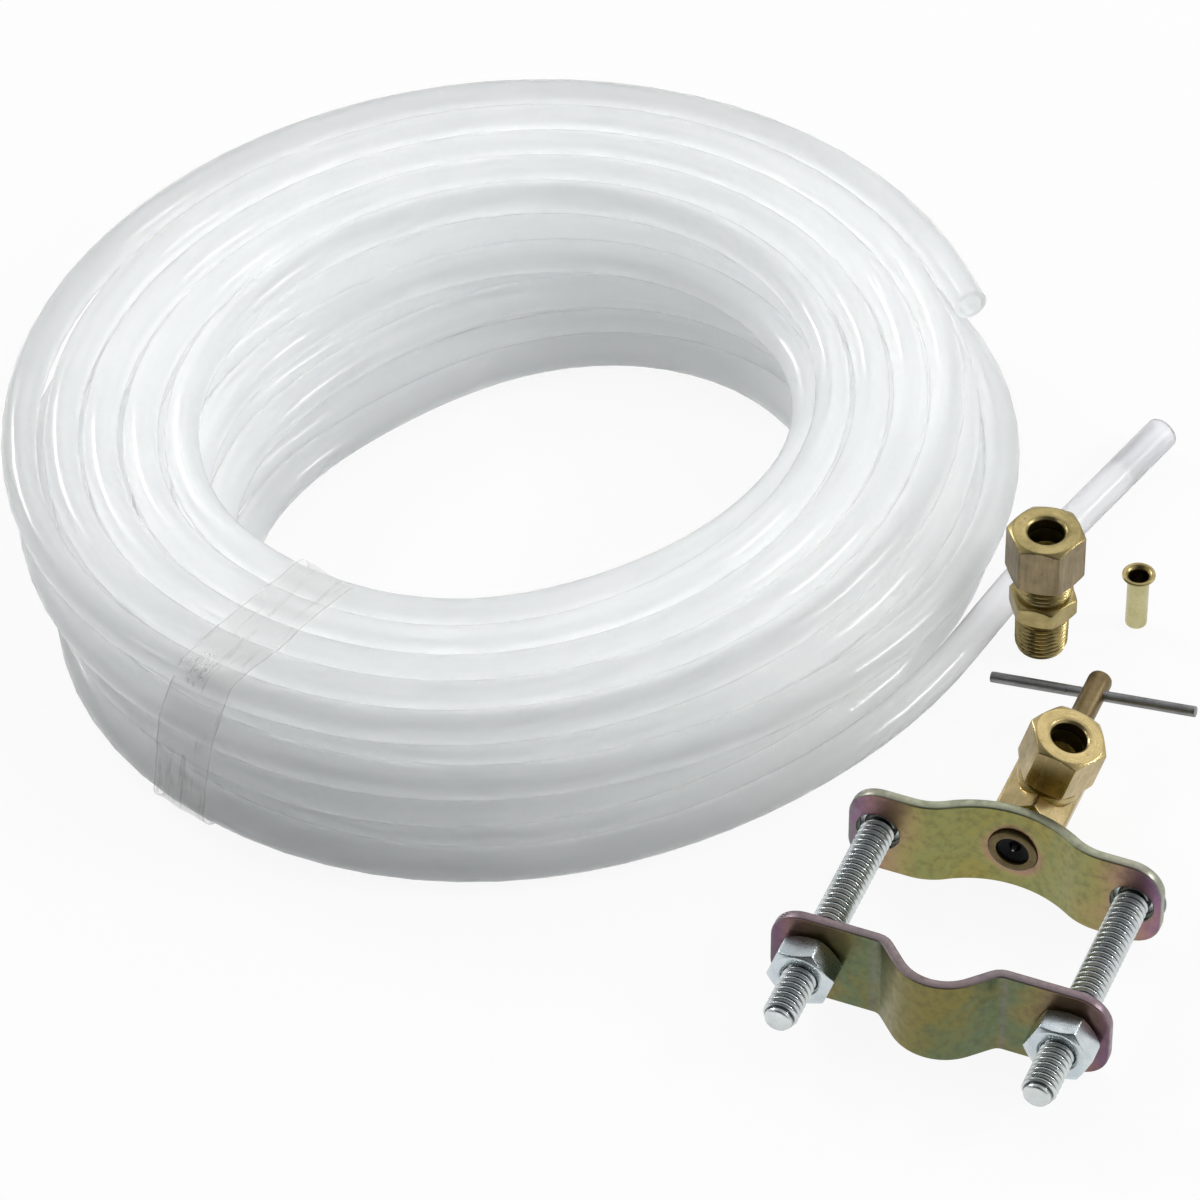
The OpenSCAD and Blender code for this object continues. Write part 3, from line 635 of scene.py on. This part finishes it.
def tube_mesh(name, path, sign):
    """Tube along the path, open at its first end and bored from its cut end.

    The first end stays open, because there the coil and the tail are one tube. The first UV is
    the run in millimetres from that end, times the sign.
    """
    sides, soft, bore_length = 20, 0.14, 12.0
    n = len(path)
    run = [0.0]
    for i in range(1, n):
        run.append(run[-1] + (path[i] - path[i - 1]).length)

    def heading(i):
        return (path[min(i + 1, n - 1)] - path[max(i - 1, 0)]).normalized()
    stack = [(path[i], heading(i), TUBE_R, run[i]) for i in range(n - 1)]
    c, d, s = path[-1], heading(n - 1), run[-1]
    stack += [
        (c - d * soft, d, TUBE_R, s - soft),
        (c - d * soft * 0.3, d, TUBE_R - soft * 0.3, s - soft * 0.3),
        (c, d, TUBE_R - soft, s),
        (c, d, TUBE_BORE + 0.08, s + 0.8),
        (c - d * 0.1, d, TUBE_BORE, s + 1.0),
    ]
    back, i = 0.0, n - 1
    while back < bore_length:
        i -= 1
        back = s - run[i]
        if back > 0.5:
            stack.append((path[i], heading(i), TUBE_BORE, s + 1.0 + back))
    points, faces, uvs = [], [], []
    for c, d, r, _ in stack:
        side, up = frame_at(d)
        for k in range(sides):
            a = TAU * k / sides
            points.append(c + side * (r * math.cos(a)) + up * (r * math.sin(a)))
    last = len(stack) - 1
    for j in range(last):
        s0, s1 = sign * stack[j][3], sign * stack[j + 1][3]
        for k in range(sides):
            m = (k + 1) % sides
            faces.append((j * sides + k, (j + 1) * sides + k, (j + 1) * sides + m, j * sides + m))
            uvs.append(((s0, k), (s1, k), (s1, k + 1), (s0, k + 1)))
    faces.append(tuple(last * sides + k for k in reversed(range(sides))))
    uvs.append(((sign * stack[last][3], sides / 2),) * sides)
    return add_mesh(name, points, faces, TUBING, 50, uvs), run[-1]


def coil_line():
    """The coil's centre line, with a short straight lead at each end."""
    count = int(math.ceil(TURNS * 72))
    small = 0.002
    line = []
    for i in range(count + 1):
        t = TURNS * i / count
        p = coil_at(t)
        q = coil_at(min(t + small, TURNS)) - coil_at(max(t - small, 0.0))
        side, _ = frame_at(q.normalized())
        s, u = wander(t)
        line.append(p + side * s + Vector((0, 0, u)))
    final = (coil_at(TURNS) - coil_at(TURNS - 0.01)).normalized()
    lead = [line[0] + OUTWARD * 2 * TUBE_R * k / 3 for k in (3, 2, 1)]
    end = [line[-1] + final * 2 * TUBE_R * k / 3 for k in (1, 2, 3)]
    return lead + line + end


# the coil's heading at its lower end, where the tail goes on, and the tail's way ahead and right
OUTWARD = (coil_at(0) - coil_at(0.01)).normalized()
TAIL_ROUTE = [(0, 0), (7, 0), (20, 0.2), (34, 1), (48, 2.1)]
TAIL_END = 14


def tail_line(root):
    """The tail's route from the joint, smoothed between its points, with its straight cut end."""
    ahead = Vector((OUTWARD.x, OUTWARD.y, 0)).normalized()
    right = Vector((ahead.y, -ahead.x, 0))
    pts = [root + ahead * f + right * r for f, r in TAIL_ROUTE]
    pts.append(pts[-1] + (pts[-1] - pts[-2]).normalized() * TAIL_END)
    out = []
    for i in range(len(pts) - 1):
        a, b, c, d = pts[max(i - 1, 0)], pts[i], pts[i + 1], pts[min(i + 2, len(pts) - 1)]
        for k in range(8):
            t = k / 8
            out.append(0.5 * ((2 * b) + (c - a) * t + (2 * a - 5 * b + 4 * c - d) * t * t
                              + (3 * b - a - 3 * c + d) * t ** 3))
    out.append(pts[-1])
    return out


coil_path = coil_line()
tail_path = tail_line(coil_path[0])
coil, coil_length = tube_mesh("coil_tubing", coil_path, 1)
tail, tail_length = tube_mesh("tail_tubing", tail_path, -1)
for piece, node, path, length, lay in (
    (coil, "tube_coil", coil_path, coil_length, "coiled"),
    (tail, "tube_tail", tail_path, tail_length, "loose"),
):
    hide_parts(node)
    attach(piece, "kit_base")


# ---------------------------------------------------------------- tape band
def strands_under_tape(centre, across, along):
    """Where the strands pass the tape's middle plane, as (distance from the centre, height)."""
    marks = []
    first = (FIRST_ANGLE - TAPE_ANGLE + 360) / 360
    for k in range(int(TURNS - first) + 1):
        t = first + k
        for _ in range(3):
            p = coil_at(t)
            t += (p - centre).dot(along) / (TAU * (p - centre).length)
        p = coil_at(t)
        marks.append(((p - centre).dot(across), p.z))
    return marks


def taut_outline(marks, mid):
    """Radii round mid of a taut film's outline: the least ray over all its tangents."""
    gap = 0.45
    hull = []
    for i in range(TAPE_CELLS):
        ang = TAU * i / TAPE_CELLS
        d = Vector((math.cos(ang), math.sin(ang)))
        rays = []
        for j in range(-30, 31):
            e = Vector((math.cos(ang + j * 0.04), math.sin(ang + j * 0.04)))
            if d.dot(e) > 0.05:
                reach = max((x - mid.x) * e.x + (z - mid.y) * e.y for x, z in marks)
                rays.append((reach + TUBE_R + gap) / d.dot(e))
        hull.append(min(rays))
    return hull


def tape_band():
    """Clear film wound taut round the bundle, with ripples and a wavy rim."""
    a = math.radians(TAPE_ANGLE)
    across = Vector((math.cos(a), math.sin(a), 0))
    along = Vector((-math.sin(a), math.cos(a), 0))
    centre = Vector((COIL[0], COIL[1], 0))
    marks = strands_under_tape(centre, across, along)
    xs, zs = zip(*marks)
    mid = Vector(((min(xs) + max(xs)) / 2, (min(zs) + max(zs)) / 2))
    hull = taut_outline(marks, mid)
    count, rows = TAPE_CELLS, TAPE_ROWS + 1
    thickness, off_floor = 0.12, 0.06
    points, faces, uvs = [], [], []
    for offset in (thickness, 0.0):
        for w in range(rows):
            v = w / TAPE_ROWS - 0.5
            for i in range(count):
                ang = TAU * i / count
                ripple = 0.07 * math.sin(9 * ang + 7 * v) + 0.06 * math.sin(23 * ang - 13 * v + 1.0)
                edge = 0.10 * math.sin(31 * ang + 2.0) * abs(v) * 2
                r = hull[i] + offset + ripple + edge * 0.5
                shift = 0.35 * math.sin(5 * ang) * v
                x, z = mid.x + r * math.cos(ang), mid.y + r * math.sin(ang)
                p = centre + across * x + along * (v * TAPE_WIDTH + shift)
                points.append((p.x, p.y, max(z, off_floor)))

    def at(layer, w, i):
        return (layer * rows + w) * count + i % count

    def add_face(face, uv, turned):
        faces.append(tuple(reversed(face)) if turned else face)
        uvs.append(tuple(reversed(uv)) if turned else uv)
    for layer in (0, 1):
        for w in range(TAPE_ROWS):
            for i in range(count):
                cell = ((i, w), (i + 1, w), (i + 1, w + 1), (i, w + 1))
                add_face(tuple(at(layer, q, p) for p, q in cell), cell, layer == 0)
    for w in (0, TAPE_ROWS):
        for i in range(count):
            rim = (at(0, w, i), at(0, w, i + 1), at(1, w, i + 1), at(1, w, i))
            add_face(rim, ((i, w),) * 4, w == TAPE_ROWS)
    return add_mesh("tape_film_band", points, faces, FILM, 40, uvs)


tape = tape_band()
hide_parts("tape_band")
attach(tape, "kit_base")


# ---------------------------------------------------------------- compression pieces
def shade_valleys(obj, place, mat, radius, reach):
    """Faces inside the radius and between two heights take the metal, as painted shade in a
    thread's bottom or bore.
    """
    obj.data.materials.append(mat)
    slot = len(obj.data.materials) - 1
    back = place.inverted()
    for p in obj.data.polygons:
        q = back @ (p.center / MM)
        if reach[0] < q.z < reach[1] and math.hypot(q.x, q.y) < radius:
            p.material_index = slot


def compression_nut(name, z0, z1, turn, place, flats, turned):
    """A nut from z0 to its face at z1, drawn on the flats and turned on its ends."""
    flat, plate, mouth = NUT_AF / 2, 2.2, 3.72
    profile = [(NUT_BORE, z0 + 0.4), (NUT_BORE + 0.35, z0 + 0.02)]
    profile += hex_run(NUT_AF, z0, z1, turn, low=flat - 0.15, high=flat - 0.28, corner=0.4)
    profile += [
        (flat - 0.5, z1), (5.2, z1), (4.6, z1 - 0.015), (mouth + 0.1, z1), (mouth, z1 - 0.04),
        (TUBE_HOLE + 0.03, z1 - 0.42), (TUBE_HOLE, z1 - 0.5), (TUBE_HOLE, z1 - plate),
        (NUT_BORE, z1 - plate - 0.02), (NUT_BORE, z0 + 1.5),
    ]
    nut = lathe(name, profile, 144, place, flats)
    nut.data.materials.append(turned)
    axis = (place.to_3x3() @ Vector((0, 0, 1))).normalized()
    for p in nut.data.polygons:
        if abs(p.normal.dot(axis)) > 0.6:
            p.material_index = 1
    # painted shade in the nut's bore
    shade_valleys(nut, place, DARK_AND_SHADED_BRASS, TUBE_HOLE + 0.025, (z0, z1 - 0.55))
    return nut


fitting_place = Matrix.Translation((FITTING[0], FITTING[1], 0))
# inside this radius the seats and water ways of both noses take painted shade
SEAT_SHADE = 3.4


def fitting_body():
    """Pipe thread, hexagon and nose of the fitting, with its seat and water way."""
    pipe_r, pipe_depth, pipe_pitch, water_way = 4.93, 0.62, 0.94, 2.5
    profile = [(water_way, 0.15), (2.65, 0.0), (4.1, 0.0), (4.35, 0.1)]
    profile += thread_run(pipe_r, pipe_depth, pipe_pitch, 0.35, 8.45, fade=0.8, taper=0.02)
    profile += [(4.45, 8.6), (4.55, 8.9)]
    profile += hex_run(SMALL_AF, 8.9, 13.0, math.radians(4), low=5.3, high=5.3, corner=0.35)
    profile += [(4.85, 13.0), (4.62, 13.05), (4.6, 13.7)]
    profile += thread_run(NOSE_R, NOSE_DEPTH, NOSE_PITCH, 13.9, 21.3, fade=0.5)
    profile += [
        (5.0, 21.5), (4.75, 21.58), (4.35, 21.6), (3.31, 20.05), (TUBE_HOLE, 19.9),
        (TUBE_HOLE, 18.5), (water_way, 18.4), (water_way, 9.0),
    ]
    body = lathe("fitting_body_threads", profile, 96, fitting_place, DULL_BRASS)
    # painted shade in the pipe thread's valleys, and in the seat and water way
    shade_valleys(body, fitting_place, DARK_AND_SHADED_BRASS, pipe_r - 0.45, (0.5, 8.3))
    shade_valleys(body, fitting_place, DARK_AND_SHADED_BRASS, SEAT_SHADE, (8.0, 21.0))
    return body


fit_body = fitting_body()
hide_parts("fitting_body")
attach(fit_body, "kit_base")
fit_nut = compression_nut(
    "fitting_nut_hex", 18.0, 28.0, math.radians(9), fitting_place, DULL_FLATS, DULL_BRASS,
)
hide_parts("fitting_nut")
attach(fit_nut, "fitting_cap")

# tube insert: a thin sleeve with its flare on top
insert_place = Matrix.Translation((INSERT[0], INSERT[1], 0))
insert_profile = rounded([
    (1.75, 6.0), (1.75, 0.12), (1.82, 0.0), (1.95, 0.05), (2.0, 0.4), (2.0, 11.35, 0.25),
    (2.9, 11.5, 0.1), (3.05, 11.62, 0.1), (3.03, 11.92, 0.12), (2.85, 12.0, 0.1),
    (2.35, 11.98, 0.3), (1.78, 11.45, 0.3), (1.75, 6.0),
], 0.05)[:-1]
insert = lathe("tube_insert_flared", insert_profile, 64, insert_place, PALE_BRASS)
insert.data.materials.append(DULL_BRASS)
for p in insert.data.polygons:
    if p.center.z > 11.4 * MM:
        p.material_index = 1
# painted shade inside the insert's bore
shade_valleys(insert, insert_place, DARK_AND_SHADED_BRASS, 1.8, (1.0, 11.6))
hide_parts("tube_insert")
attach(insert, "kit_base")


# ---------------------------------------------------------------- saddle brackets
def run_of(length, radius, turn):
    """Run of one part of a plan: a straight has its length, and an arc its radius and turn."""
    return length if radius == 0 else radius * abs(turn)


def plan_length(plan):
    return sum(run_of(*part) for part in plan)


def plan_at(plan, start, s):
    """Point and heading after the run s on a plan of straights and arcs."""
    pos, a = Vector(start), 0.0
    for length, radius, turn in plan:
        part = min(s, run_of(length, radius, turn))
        if radius == 0:
            pos = pos + Vector((math.cos(a), math.sin(a))) * part
        else:
            side = 1 if turn > 0 else -1
            centre = pos + Vector((-math.sin(a), math.cos(a))) * (side * radius)
            a2 = a + side * part / radius
            pos = centre - Vector((-math.sin(a2), math.cos(a2))) * (side * radius)
            a = a2
        s -= part
        if s <= 1e-9:
            break
    return pos + Vector((math.cos(a), math.sin(a))) * max(0.0, s), a


def bracket(name, plan, start, holes, mat, creases=()):
    """A plate cut out flat with rounded edges and holes at (run, radius), then bent to the plan."""
    total = plan_length(plan)
    edge, corner, wide = 0.32, 6.0, 18.0
    curve = bpy.data.curves.new(name, "CURVE")
    curve.dimensions = "2D"
    curve.fill_mode = "BOTH"
    curve.extrude = PLATE / 2 - edge
    curve.bevel_depth = edge
    curve.bevel_resolution = 2

    def loop(points):
        spline = curve.splines.new("POLY")
        spline.points.add(len(points) - 1)
        for p, q in zip(spline.points, points):
            p.co = (q[0], q[1], 0, 1)
        spline.use_cyclic_u = True

    def arc(cx, cy, r, angles):
        return [(cx + r * math.cos(a), cy + r * math.sin(a)) for a in angles]
    outline = []
    for cx, cy, a0 in (
        (total - corner, corner, -90), (total - corner, wide - corner, 0),
        (corner, wide - corner, 90), (corner, corner, 180),
    ):
        outline += arc(cx, cy, corner - edge, [math.radians(a0 + 90 * k / 12) for k in range(13)])
    loop(outline)
    for hs, r in holes:
        loop(arc(hs, wide / 2, r + edge, [TAU * k / 48 for k in range(48)]))
    temp = bpy.data.objects.new(name, curve)
    scene.collection.objects.link(temp)
    deps = bpy.context.evaluated_depsgraph_get()
    me = bpy.data.meshes.new_from_object(temp.evaluated_get(deps))
    bpy.data.objects.remove(temp)
    bm = bmesh.new()
    bm.from_mesh(me)
    bmesh.ops.remove_doubles(bm, verts=bm.verts, dist=1e-4)
    # cuts across the run, so that the plate can bend, and along it
    for axis, size, cuts in ((0, total, int(total / 0.8)), (1, wide, 18)):
        for k in range(1, cuts):
            at, normal = Vector((0, 0, 0)), Vector((0, 0, 0))
            at[axis], normal[axis] = size * k / cuts, 1
            bmesh.ops.bisect_plane(
                bm, geom=bm.verts[:] + bm.edges[:] + bm.faces[:], dist=1e-5,
                plane_co=at, plane_no=normal,
            )
    for old in list(bm.loops.layers.uv.values()):
        bm.loops.layers.uv.remove(old)
    layer = bm.loops.layers.uv.new("along")
    bm.normal_update()
    for f in bm.faces:
        for l in f.loops:
            s, w, _ = l.vert.co
            near = min(math.hypot(s - hs, w - wide / 2) - r for hs, r in holes)
            ring = 0.55 * (1.0 - min(1.0, max(0.0, near) / 2.6))
            ends = max(abs(2 * s / total - 1) ** 2.2, ring)
            # the second UV carries the painted highlight: 1 on the edge faces, and up to 0.45 along
            # the bends
            fold = max([math.exp(-((s - c) / 0.7) ** 2) for c in creases] or [0.0])
            l[layer].uv = (ends, 0.45 * fold if abs(f.normal.z) > 0.8 else 1.0)
    for v in bm.verts:
        s, w, n = v.co
        pos, a = plan_at(plan, start, s)
        out = pos + Vector((-math.sin(a), math.cos(a))) * n
        v.co = Vector((VALVE[0] + out.x, VALVE[1] + out.y, w)) * MM
    bmesh.ops.recalc_face_normals(bm, faces=bm.faces)
    face_out(bm)
    out = bpy.data.meshes.new(name)
    bm.to_mesh(out)
    bm.free()
    bpy.data.meshes.remove(me)
    out.polygons.foreach_set("use_smooth", [True] * len(out.polygons))
    out.set_sharp_from_angle(angle=math.radians(38))
    out.materials.append(mat)
    obj = bpy.data.objects.new(name, out)
    scene.collection.objects.link(obj)
    return obj


# each plan runs from left to right: two flats with the arch or the dip between them
arch = math.radians(31.8908)
upper_plan = [(11.5, 0, 0), (0, 11.0, arch), (0, 22.125, -2 * arch), (0, 11.0, arch), (11.5, 0, 0)]
upper_total = plan_length(upper_plan)
upper = bracket(
    "upper_bracket_plate", upper_plan, (-29.0, BOLT_Y - PLATE / 2),
    [(5.5, 4.0), (upper_total - 5.5, 4.0), (upper_total / 2, 4.66)], LIT_UPPER_PLATE,
)
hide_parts("upper_bracket")
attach(upper, "kit_base")
q, flat, slope = math.radians(45), 19.2294, 4.64609
lower_plan = [
    (flat, 0, 0), (0, 3.0, -q), (slope, 0, 0), (0, 9.0, 2 * q), (slope, 0, 0), (0, 3.0, -q),
    (flat, 0, 0),
]
lower_total = plan_length(lower_plan)
lower = bracket(
    "lower_bracket_plate", lower_plan, (-31.0, -31.7),
    [(7.5, 3.55), (lower_total - 7.5, 3.55)], SHADED_LOWER_PLATE, creases=(19.3, lower_total - 19.3),
)
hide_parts("lower_bracket")
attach(lower, "clamp_plate")


# ---------------------------------------------------------------- bolts and nuts
def bolt(name, node, x):
    """A bolt with a real thread, and its head from the frame."""
    place = at_valve(x, BOLT_Y) @ ALONG_Y
    tip = -BOLT_LENGTH
    profile = [(0.0, tip), (1.9, tip), (2.3, tip + 0.1), (2.45, tip + 0.35)]
    profile += thread_run(BOLT_R, BOLT_DEPTH, BOLT_PITCH, tip + 0.5, -0.9, fade=0.9, per=12)
    profile += [(3.0, -0.6), (3.08, -0.1), (3.08, 0.4), (0.0, 0.4)]
    shank = lathe(name + "_shank", profile, 56, place, THREAD_ZINC, closed=False, sharp=80)
    # the slotted round head is cut off a copy of the frame's own solid, and its edges are eased
    bm = bmesh.new()
    bm.from_mesh(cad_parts[node].data)
    cut = (VALVE[1] + BOLT_Y) * MM
    bmesh.ops.bisect_plane(
        bm, geom=bm.verts[:] + bm.edges[:] + bm.faces[:], dist=1e-7,
        plane_co=(0, cut + 1e-5, 0), plane_no=(0, 1, 0), clear_inner=True,
    )
    bmesh.ops.remove_doubles(bm, verts=bm.verts, dist=1e-6)
    bmesh.ops.edgeloop_fill(bm, edges=[e for e in bm.edges if len(e.link_faces) == 1])
    bmesh.ops.dissolve_limit(bm, angle_limit=0.02, verts=bm.verts, edges=bm.edges)
    bmesh.ops.recalc_face_normals(bm, faces=bm.faces)
    face_out(bm)
    sharp = [e for e in bm.edges if len(e.link_faces) == 2 and e.calc_face_angle(0) > 0.9]
    bmesh.ops.bevel(bm, geom=sharp, offset=0.18 * MM, segments=2, affect="EDGES", profile=0.5)
    me = bpy.data.meshes.new(name + "_head")
    bm.to_mesh(me)
    bm.free()
    me.materials.clear()
    me.materials.append(ZINC)
    me.polygons.foreach_set("use_smooth", [True] * len(me.polygons))
    me.polygons.foreach_set("material_index", [0] * len(me.polygons))
    me.set_sharp_from_angle(angle=math.radians(35))
    head = bpy.data.objects.new(name + "_head", me)
    scene.collection.objects.link(head)
    full = join(name, [shank, head])
    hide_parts(node)
    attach(full, "kit_base")


def clamp_nut(name, node, body, x, turn):
    """A nut with a plain bore and countersunk mouths, on the bolt at x."""
    place = at_valve(x, -33.0) @ AGAINST_Y
    hole, high = 3.205, 5.5
    profile = [(hole, 0.7), (hole + 0.02, 0.55), (3.7, 0.06), (3.85, 0.0), (4.9, 0.0)]
    profile += hex_run(SMALL_AF, 0.02, high - 0.02, turn, low=5.15, high=5.15, corner=0.3)
    profile += [(4.9, high), (3.85, high), (3.7, 5.44), (hole + 0.02, 4.95), (hole, 4.8)]
    piece = lathe(name, profile, 144, place, ZINC)
    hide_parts(node)
    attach(piece, body)


bolt("bolt_left_threads", "bolt_left", -BOLT_X)
bolt("bolt_right_threads", "bolt_right", BOLT_X)
clamp_nut("nut_left_hex", "nut_left", "left_nut", -BOLT_X, math.radians(12))
clamp_nut("nut_right_hex", "nut_right", "right_nut", BOLT_X, math.radians(4))


# ---------------------------------------------------------------- valve body
def valve_body():
    """The hexagon bar with its neck and spigot, and the outlet's nose on its side."""
    profile = [
        (3.4, 6.55), (3.4, 4.95), (2.98, 4.9), (2.96, 4.5), (3.1, 4.26), (3.4, 4.2), (4.2, 4.2),
        (4.48, 4.33), (4.58, 4.65), (4.6, 7.0), (5.6, 7.1), (5.78, 7.25), (5.78, 8.9), (5.6, 9.1),
    ]
    profile += hex_run(NUT_AF, 9.1, 30.5, -OUTLET_TILT, low=6.0, high=6.0, corner=0.4)
    profile += [
        (5.4, 30.5), (3.4, 30.45), (2.6, 30.4), (2.34, 30.2), (2.34, 17.5), (1.3, 17.3),
        (1.3, 6.7), (3.3, 6.6),
    ]
    bar = lathe("body_bar", profile, 144, at_valve() @ ALONG_Y, BRASS_FLATS)
    bar.data.materials.append(BRASS)
    bar.data.materials.append(DARK_AND_SHADED_BRASS)
    spigot_top, neck_top = 6.9, 9.05
    for p in bar.data.polygons:
        y = p.center.y / MM - VALVE[1]
        # the spigot ring and its bore take the dark brass, which in the bore is painted shade
        if y < spigot_top:
            p.material_index = 2
        elif abs(p.normal.y) > 0.7 or y < neck_top:
            p.material_index = 1
    water_way = 2.3
    nose = [
        (water_way, 5.0), (5.7, 5.0), (5.88, 5.3), (5.9, 7.0), (5.75, 7.22), (5.2, 7.25),
        (4.95, 7.4), (4.9, 8.3),
    ]
    nose += thread_run(NOSE_R, NOSE_DEPTH, NOSE_PITCH, 8.45, 11.3, fade=0.5)
    nose += [
        (5.0, 11.5), (4.7, 11.6), (4.3, 11.6), (3.31, 10.05), (TUBE_HOLE, 9.9), (TUBE_HOLE, 8.6),
        (water_way, 8.5),
    ]
    spout = lathe("body_spout", nose, 72, at_outlet(), BRASS)
    # painted shade in the outlet's seat and water way
    shade_valleys(spout, at_outlet(), DARK_AND_SHADED_BRASS, SEAT_SHADE, (4.0, 11.4))
    return join("valve_body_hex", [bar, spout])


body = valve_body()
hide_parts("valve_body")
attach(body, "kit_base")
outlet = compression_nut("outlet_nut_hex", 8.6, 18.0, 0.0, at_outlet(), BRASS_FLATS, BRASS)
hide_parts("outlet_nut")
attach(outlet, "outlet_cap")

# stem with a rounded end
STEM_R = 2.25
stem_profile = [(0.0, 24.0), (2.1, 24.0), (STEM_R, 24.2)]
stem_profile += [(STEM_R, 24.2 + 0.9 * k) for k in range(1, 28)]
stem_profile += [(STEM_R, 50.0), (2.1, 50.55), (1.6, 50.85), (0.8, 50.98), (0.0, 51.0)]
stem = lathe("stem_rod", stem_profile, 64, at_valve() @ ALONG_Y, BROWN_BRASS, closed=False)
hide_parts("valve_stem")
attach(stem, "handle")


def t_bar():
    """The bar with eased ends, and crimped flat on both sides of the stem."""
    half, eased = 19.35, 0.2
    zs = [-half, -half + 0.04, -half + eased]
    zs += [-half + eased + (2 * half - 2 * eased) * k / 60 for k in range(1, 60)]
    zs += [half - eased, half - 0.04, half]
    stations = []
    for z in zs:
        from_end = half - abs(z)
        base = 1.0 if from_end > 0.19 else 0.97 if from_end > 0.03 else 0.82
        pinch = math.exp(-((abs(z) - 3.0) / 0.5) ** 2)

        def r(a, base=base, pinch=pinch):
            return base * (1 - 0.10 * pinch * math.cos(a - 1.2) ** 2)
        stations.append((r, z))
    stations = [(0.0, -half)] + stations + [(0.0, half)]
    place = at_valve(0, BAR_Y) @ Matrix.Rotation(math.pi / 2 - BAR_TURN, 4, "Y")
    return lathe("t_bar_rod", stations, 40, place, STEEL, closed=False)


bar = t_bar()
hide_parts("t_bar")
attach(bar, "handle")

# rubber gasket in the spigot's ring and the stem's packing
gasket_profile = rounded([
    (1.08, 6.2), (1.08, 5.75), (1.5, 5.6, 0.3), (3.0, 5.02, 0.2), (3.32, 5.02), (3.32, 6.6),
    (1.08, 6.6), (1.08, 6.2),
], 0.1)[:-1]
packing_profile = rounded([
    (2.33, 27.4), (2.33, 26.58), (3.17, 26.58), (3.17, 28.22), (2.33, 28.22), (2.33, 27.4),
], 0.2)[:-1]
gasket = lathe("gasket_ring", gasket_profile, 64, at_valve() @ ALONG_Y, RUBBER)
packing = lathe("stem_packing", packing_profile, 64, at_valve() @ ALONG_Y, RUBBER)
for piece, node in ((gasket, "saddle_gasket"), (packing, "stem_seal")):
    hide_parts(node)
    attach(piece, "kit_base")

# CAD solids that stay, in their materials
for node, mat in (
    ("fitting_sleeve", PALE_BRASS), ("outlet_sleeve", PALE_BRASS), ("piercing_needle", STEEL),
):
    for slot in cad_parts[node].material_slots:
        slot.material = mat


# ---------------------------------------------------------------- floor, world and lamps
def make_floor():
    """White where it is seen, also in reflections and through the tubing, and darker to the light.

    So the pieces' undersides don't wash out, and the floor keeps their shadows.
    """
    m = Nodes("floor_white")
    path = m.add("ShaderNodeLightPath")
    seen = m.math("MAXIMUM", path.outputs["Is Camera Ray"], path.outputs["Is Glossy Ray"])
    seen = m.math("MAXIMUM", seen, path.outputs["Is Transmission Ray"])
    dif = m.add("ShaderNodeBsdfDiffuse")
    m.link(m.mix(seen, (0.13, 0.13, 0.13), (0.97, 0.97, 0.97)), dif.inputs["Color"])
    glow = m.add("ShaderNodeEmission")
    glow.inputs["Color"].default_value = (1, 1, 1, 1)
    glow.inputs["Strength"].default_value = 1.0
    mix = m.add("ShaderNodeMixShader")
    m.link(m.math("MULTIPLY", seen, 0.92), mix.inputs["Fac"])
    m.link(dif.outputs["BSDF"], mix.inputs[1])
    m.link(glow.outputs["Emission"], mix.inputs[2])
    m.link(mix.outputs["Shader"], m.out.inputs["Surface"])
    return m.mat


# half the floor's side, in metres
half = 6.0
floor_me = bpy.data.meshes.new("floor")
floor_me.from_pydata(
    [(-half, -half, 0), (half, -half, 0), (half, half, 0), (-half, half, 0)], [], [(0, 1, 2, 3)],
)
floor_me.materials.append(make_floor())
floor = bpy.data.objects.new("floor", floor_me)
scene.collection.objects.link(floor)

# sky: pale at the sides and behind, darker in front and overhead
world = bpy.data.worlds.new("pale")
scene.world = world
world.use_nodes = True
wt = world.node_tree
background = wt.nodes["Background"]
background.inputs["Strength"].default_value = 0.70
coords = wt.nodes.new("ShaderNodeTexCoord")
sep = wt.nodes.new("ShaderNodeSeparateXYZ")
wt.links.new(coords.outputs["Generated"], sep.inputs["Vector"])


def sky_math(op, *values):
    n = wt.nodes.new("ShaderNodeMath")
    n.operation = op
    for socket, v in zip(n.inputs, values):
        if isinstance(v, float):
            socket.default_value = v
        else:
            wt.links.new(v, socket)
    return n.outputs["Value"]


wide = sky_math("MULTIPLY", sky_math("ABSOLUTE", sep.outputs["X"]), 0.95)
high = sky_math("MULTIPLY", sep.outputs["Z"], 0.22)
behind = sky_math("MULTIPLY", sep.outputs["Y"], 0.88)
lift = sky_math("ADD", sky_math("ADD", wide, high), behind)
sky = wt.nodes.new("ShaderNodeValToRGB")
sky.color_ramp.elements[0].position = 0.0
sky.color_ramp.elements[0].color = (0.09, 0.095, 0.097, 1)
sky.color_ramp.elements[1].position = 0.9
sky.color_ramp.elements[1].color = (0.955, 0.963, 0.97, 1)
wt.links.new(lift, sky.inputs["Fac"])
wt.links.new(sky.outputs["Color"], background.inputs["Color"])


def softbox(name, position, target, size, power, ratio):
    """A rectangular lamp, in metres and watts; ratio is that of its height to its width."""
    light = bpy.data.lights.new(name, "AREA")
    light.shape = "RECTANGLE"
    light.size = size
    light.size_y = size * ratio
    light.energy = power
    obj = bpy.data.objects.new(name, light)
    scene.collection.objects.link(obj)
    obj.location = Vector(position)
    obj.rotation_euler = (Vector(target) - Vector(position)).to_track_quat("-Z", "Y").to_euler()


softbox("key", (-0.90, 0.38, 0.60), (0, 0, 0), 0.34, 3.5, 0.35)
softbox("side", (0.90, 0.38, 0.55), (0, 0, 0), 0.34, 3.3, 0.35)
softbox("back", (0.08, 0.54, 0.52), (0, 0, 0), 0.54, 0.54, 0.55)
# a small lamp, for sharp glints on the tape
softbox("glint", (-0.68, -0.44, 0.68), (-0.06, -0.08, 0.02), 0.13, 0.50, 0.45)
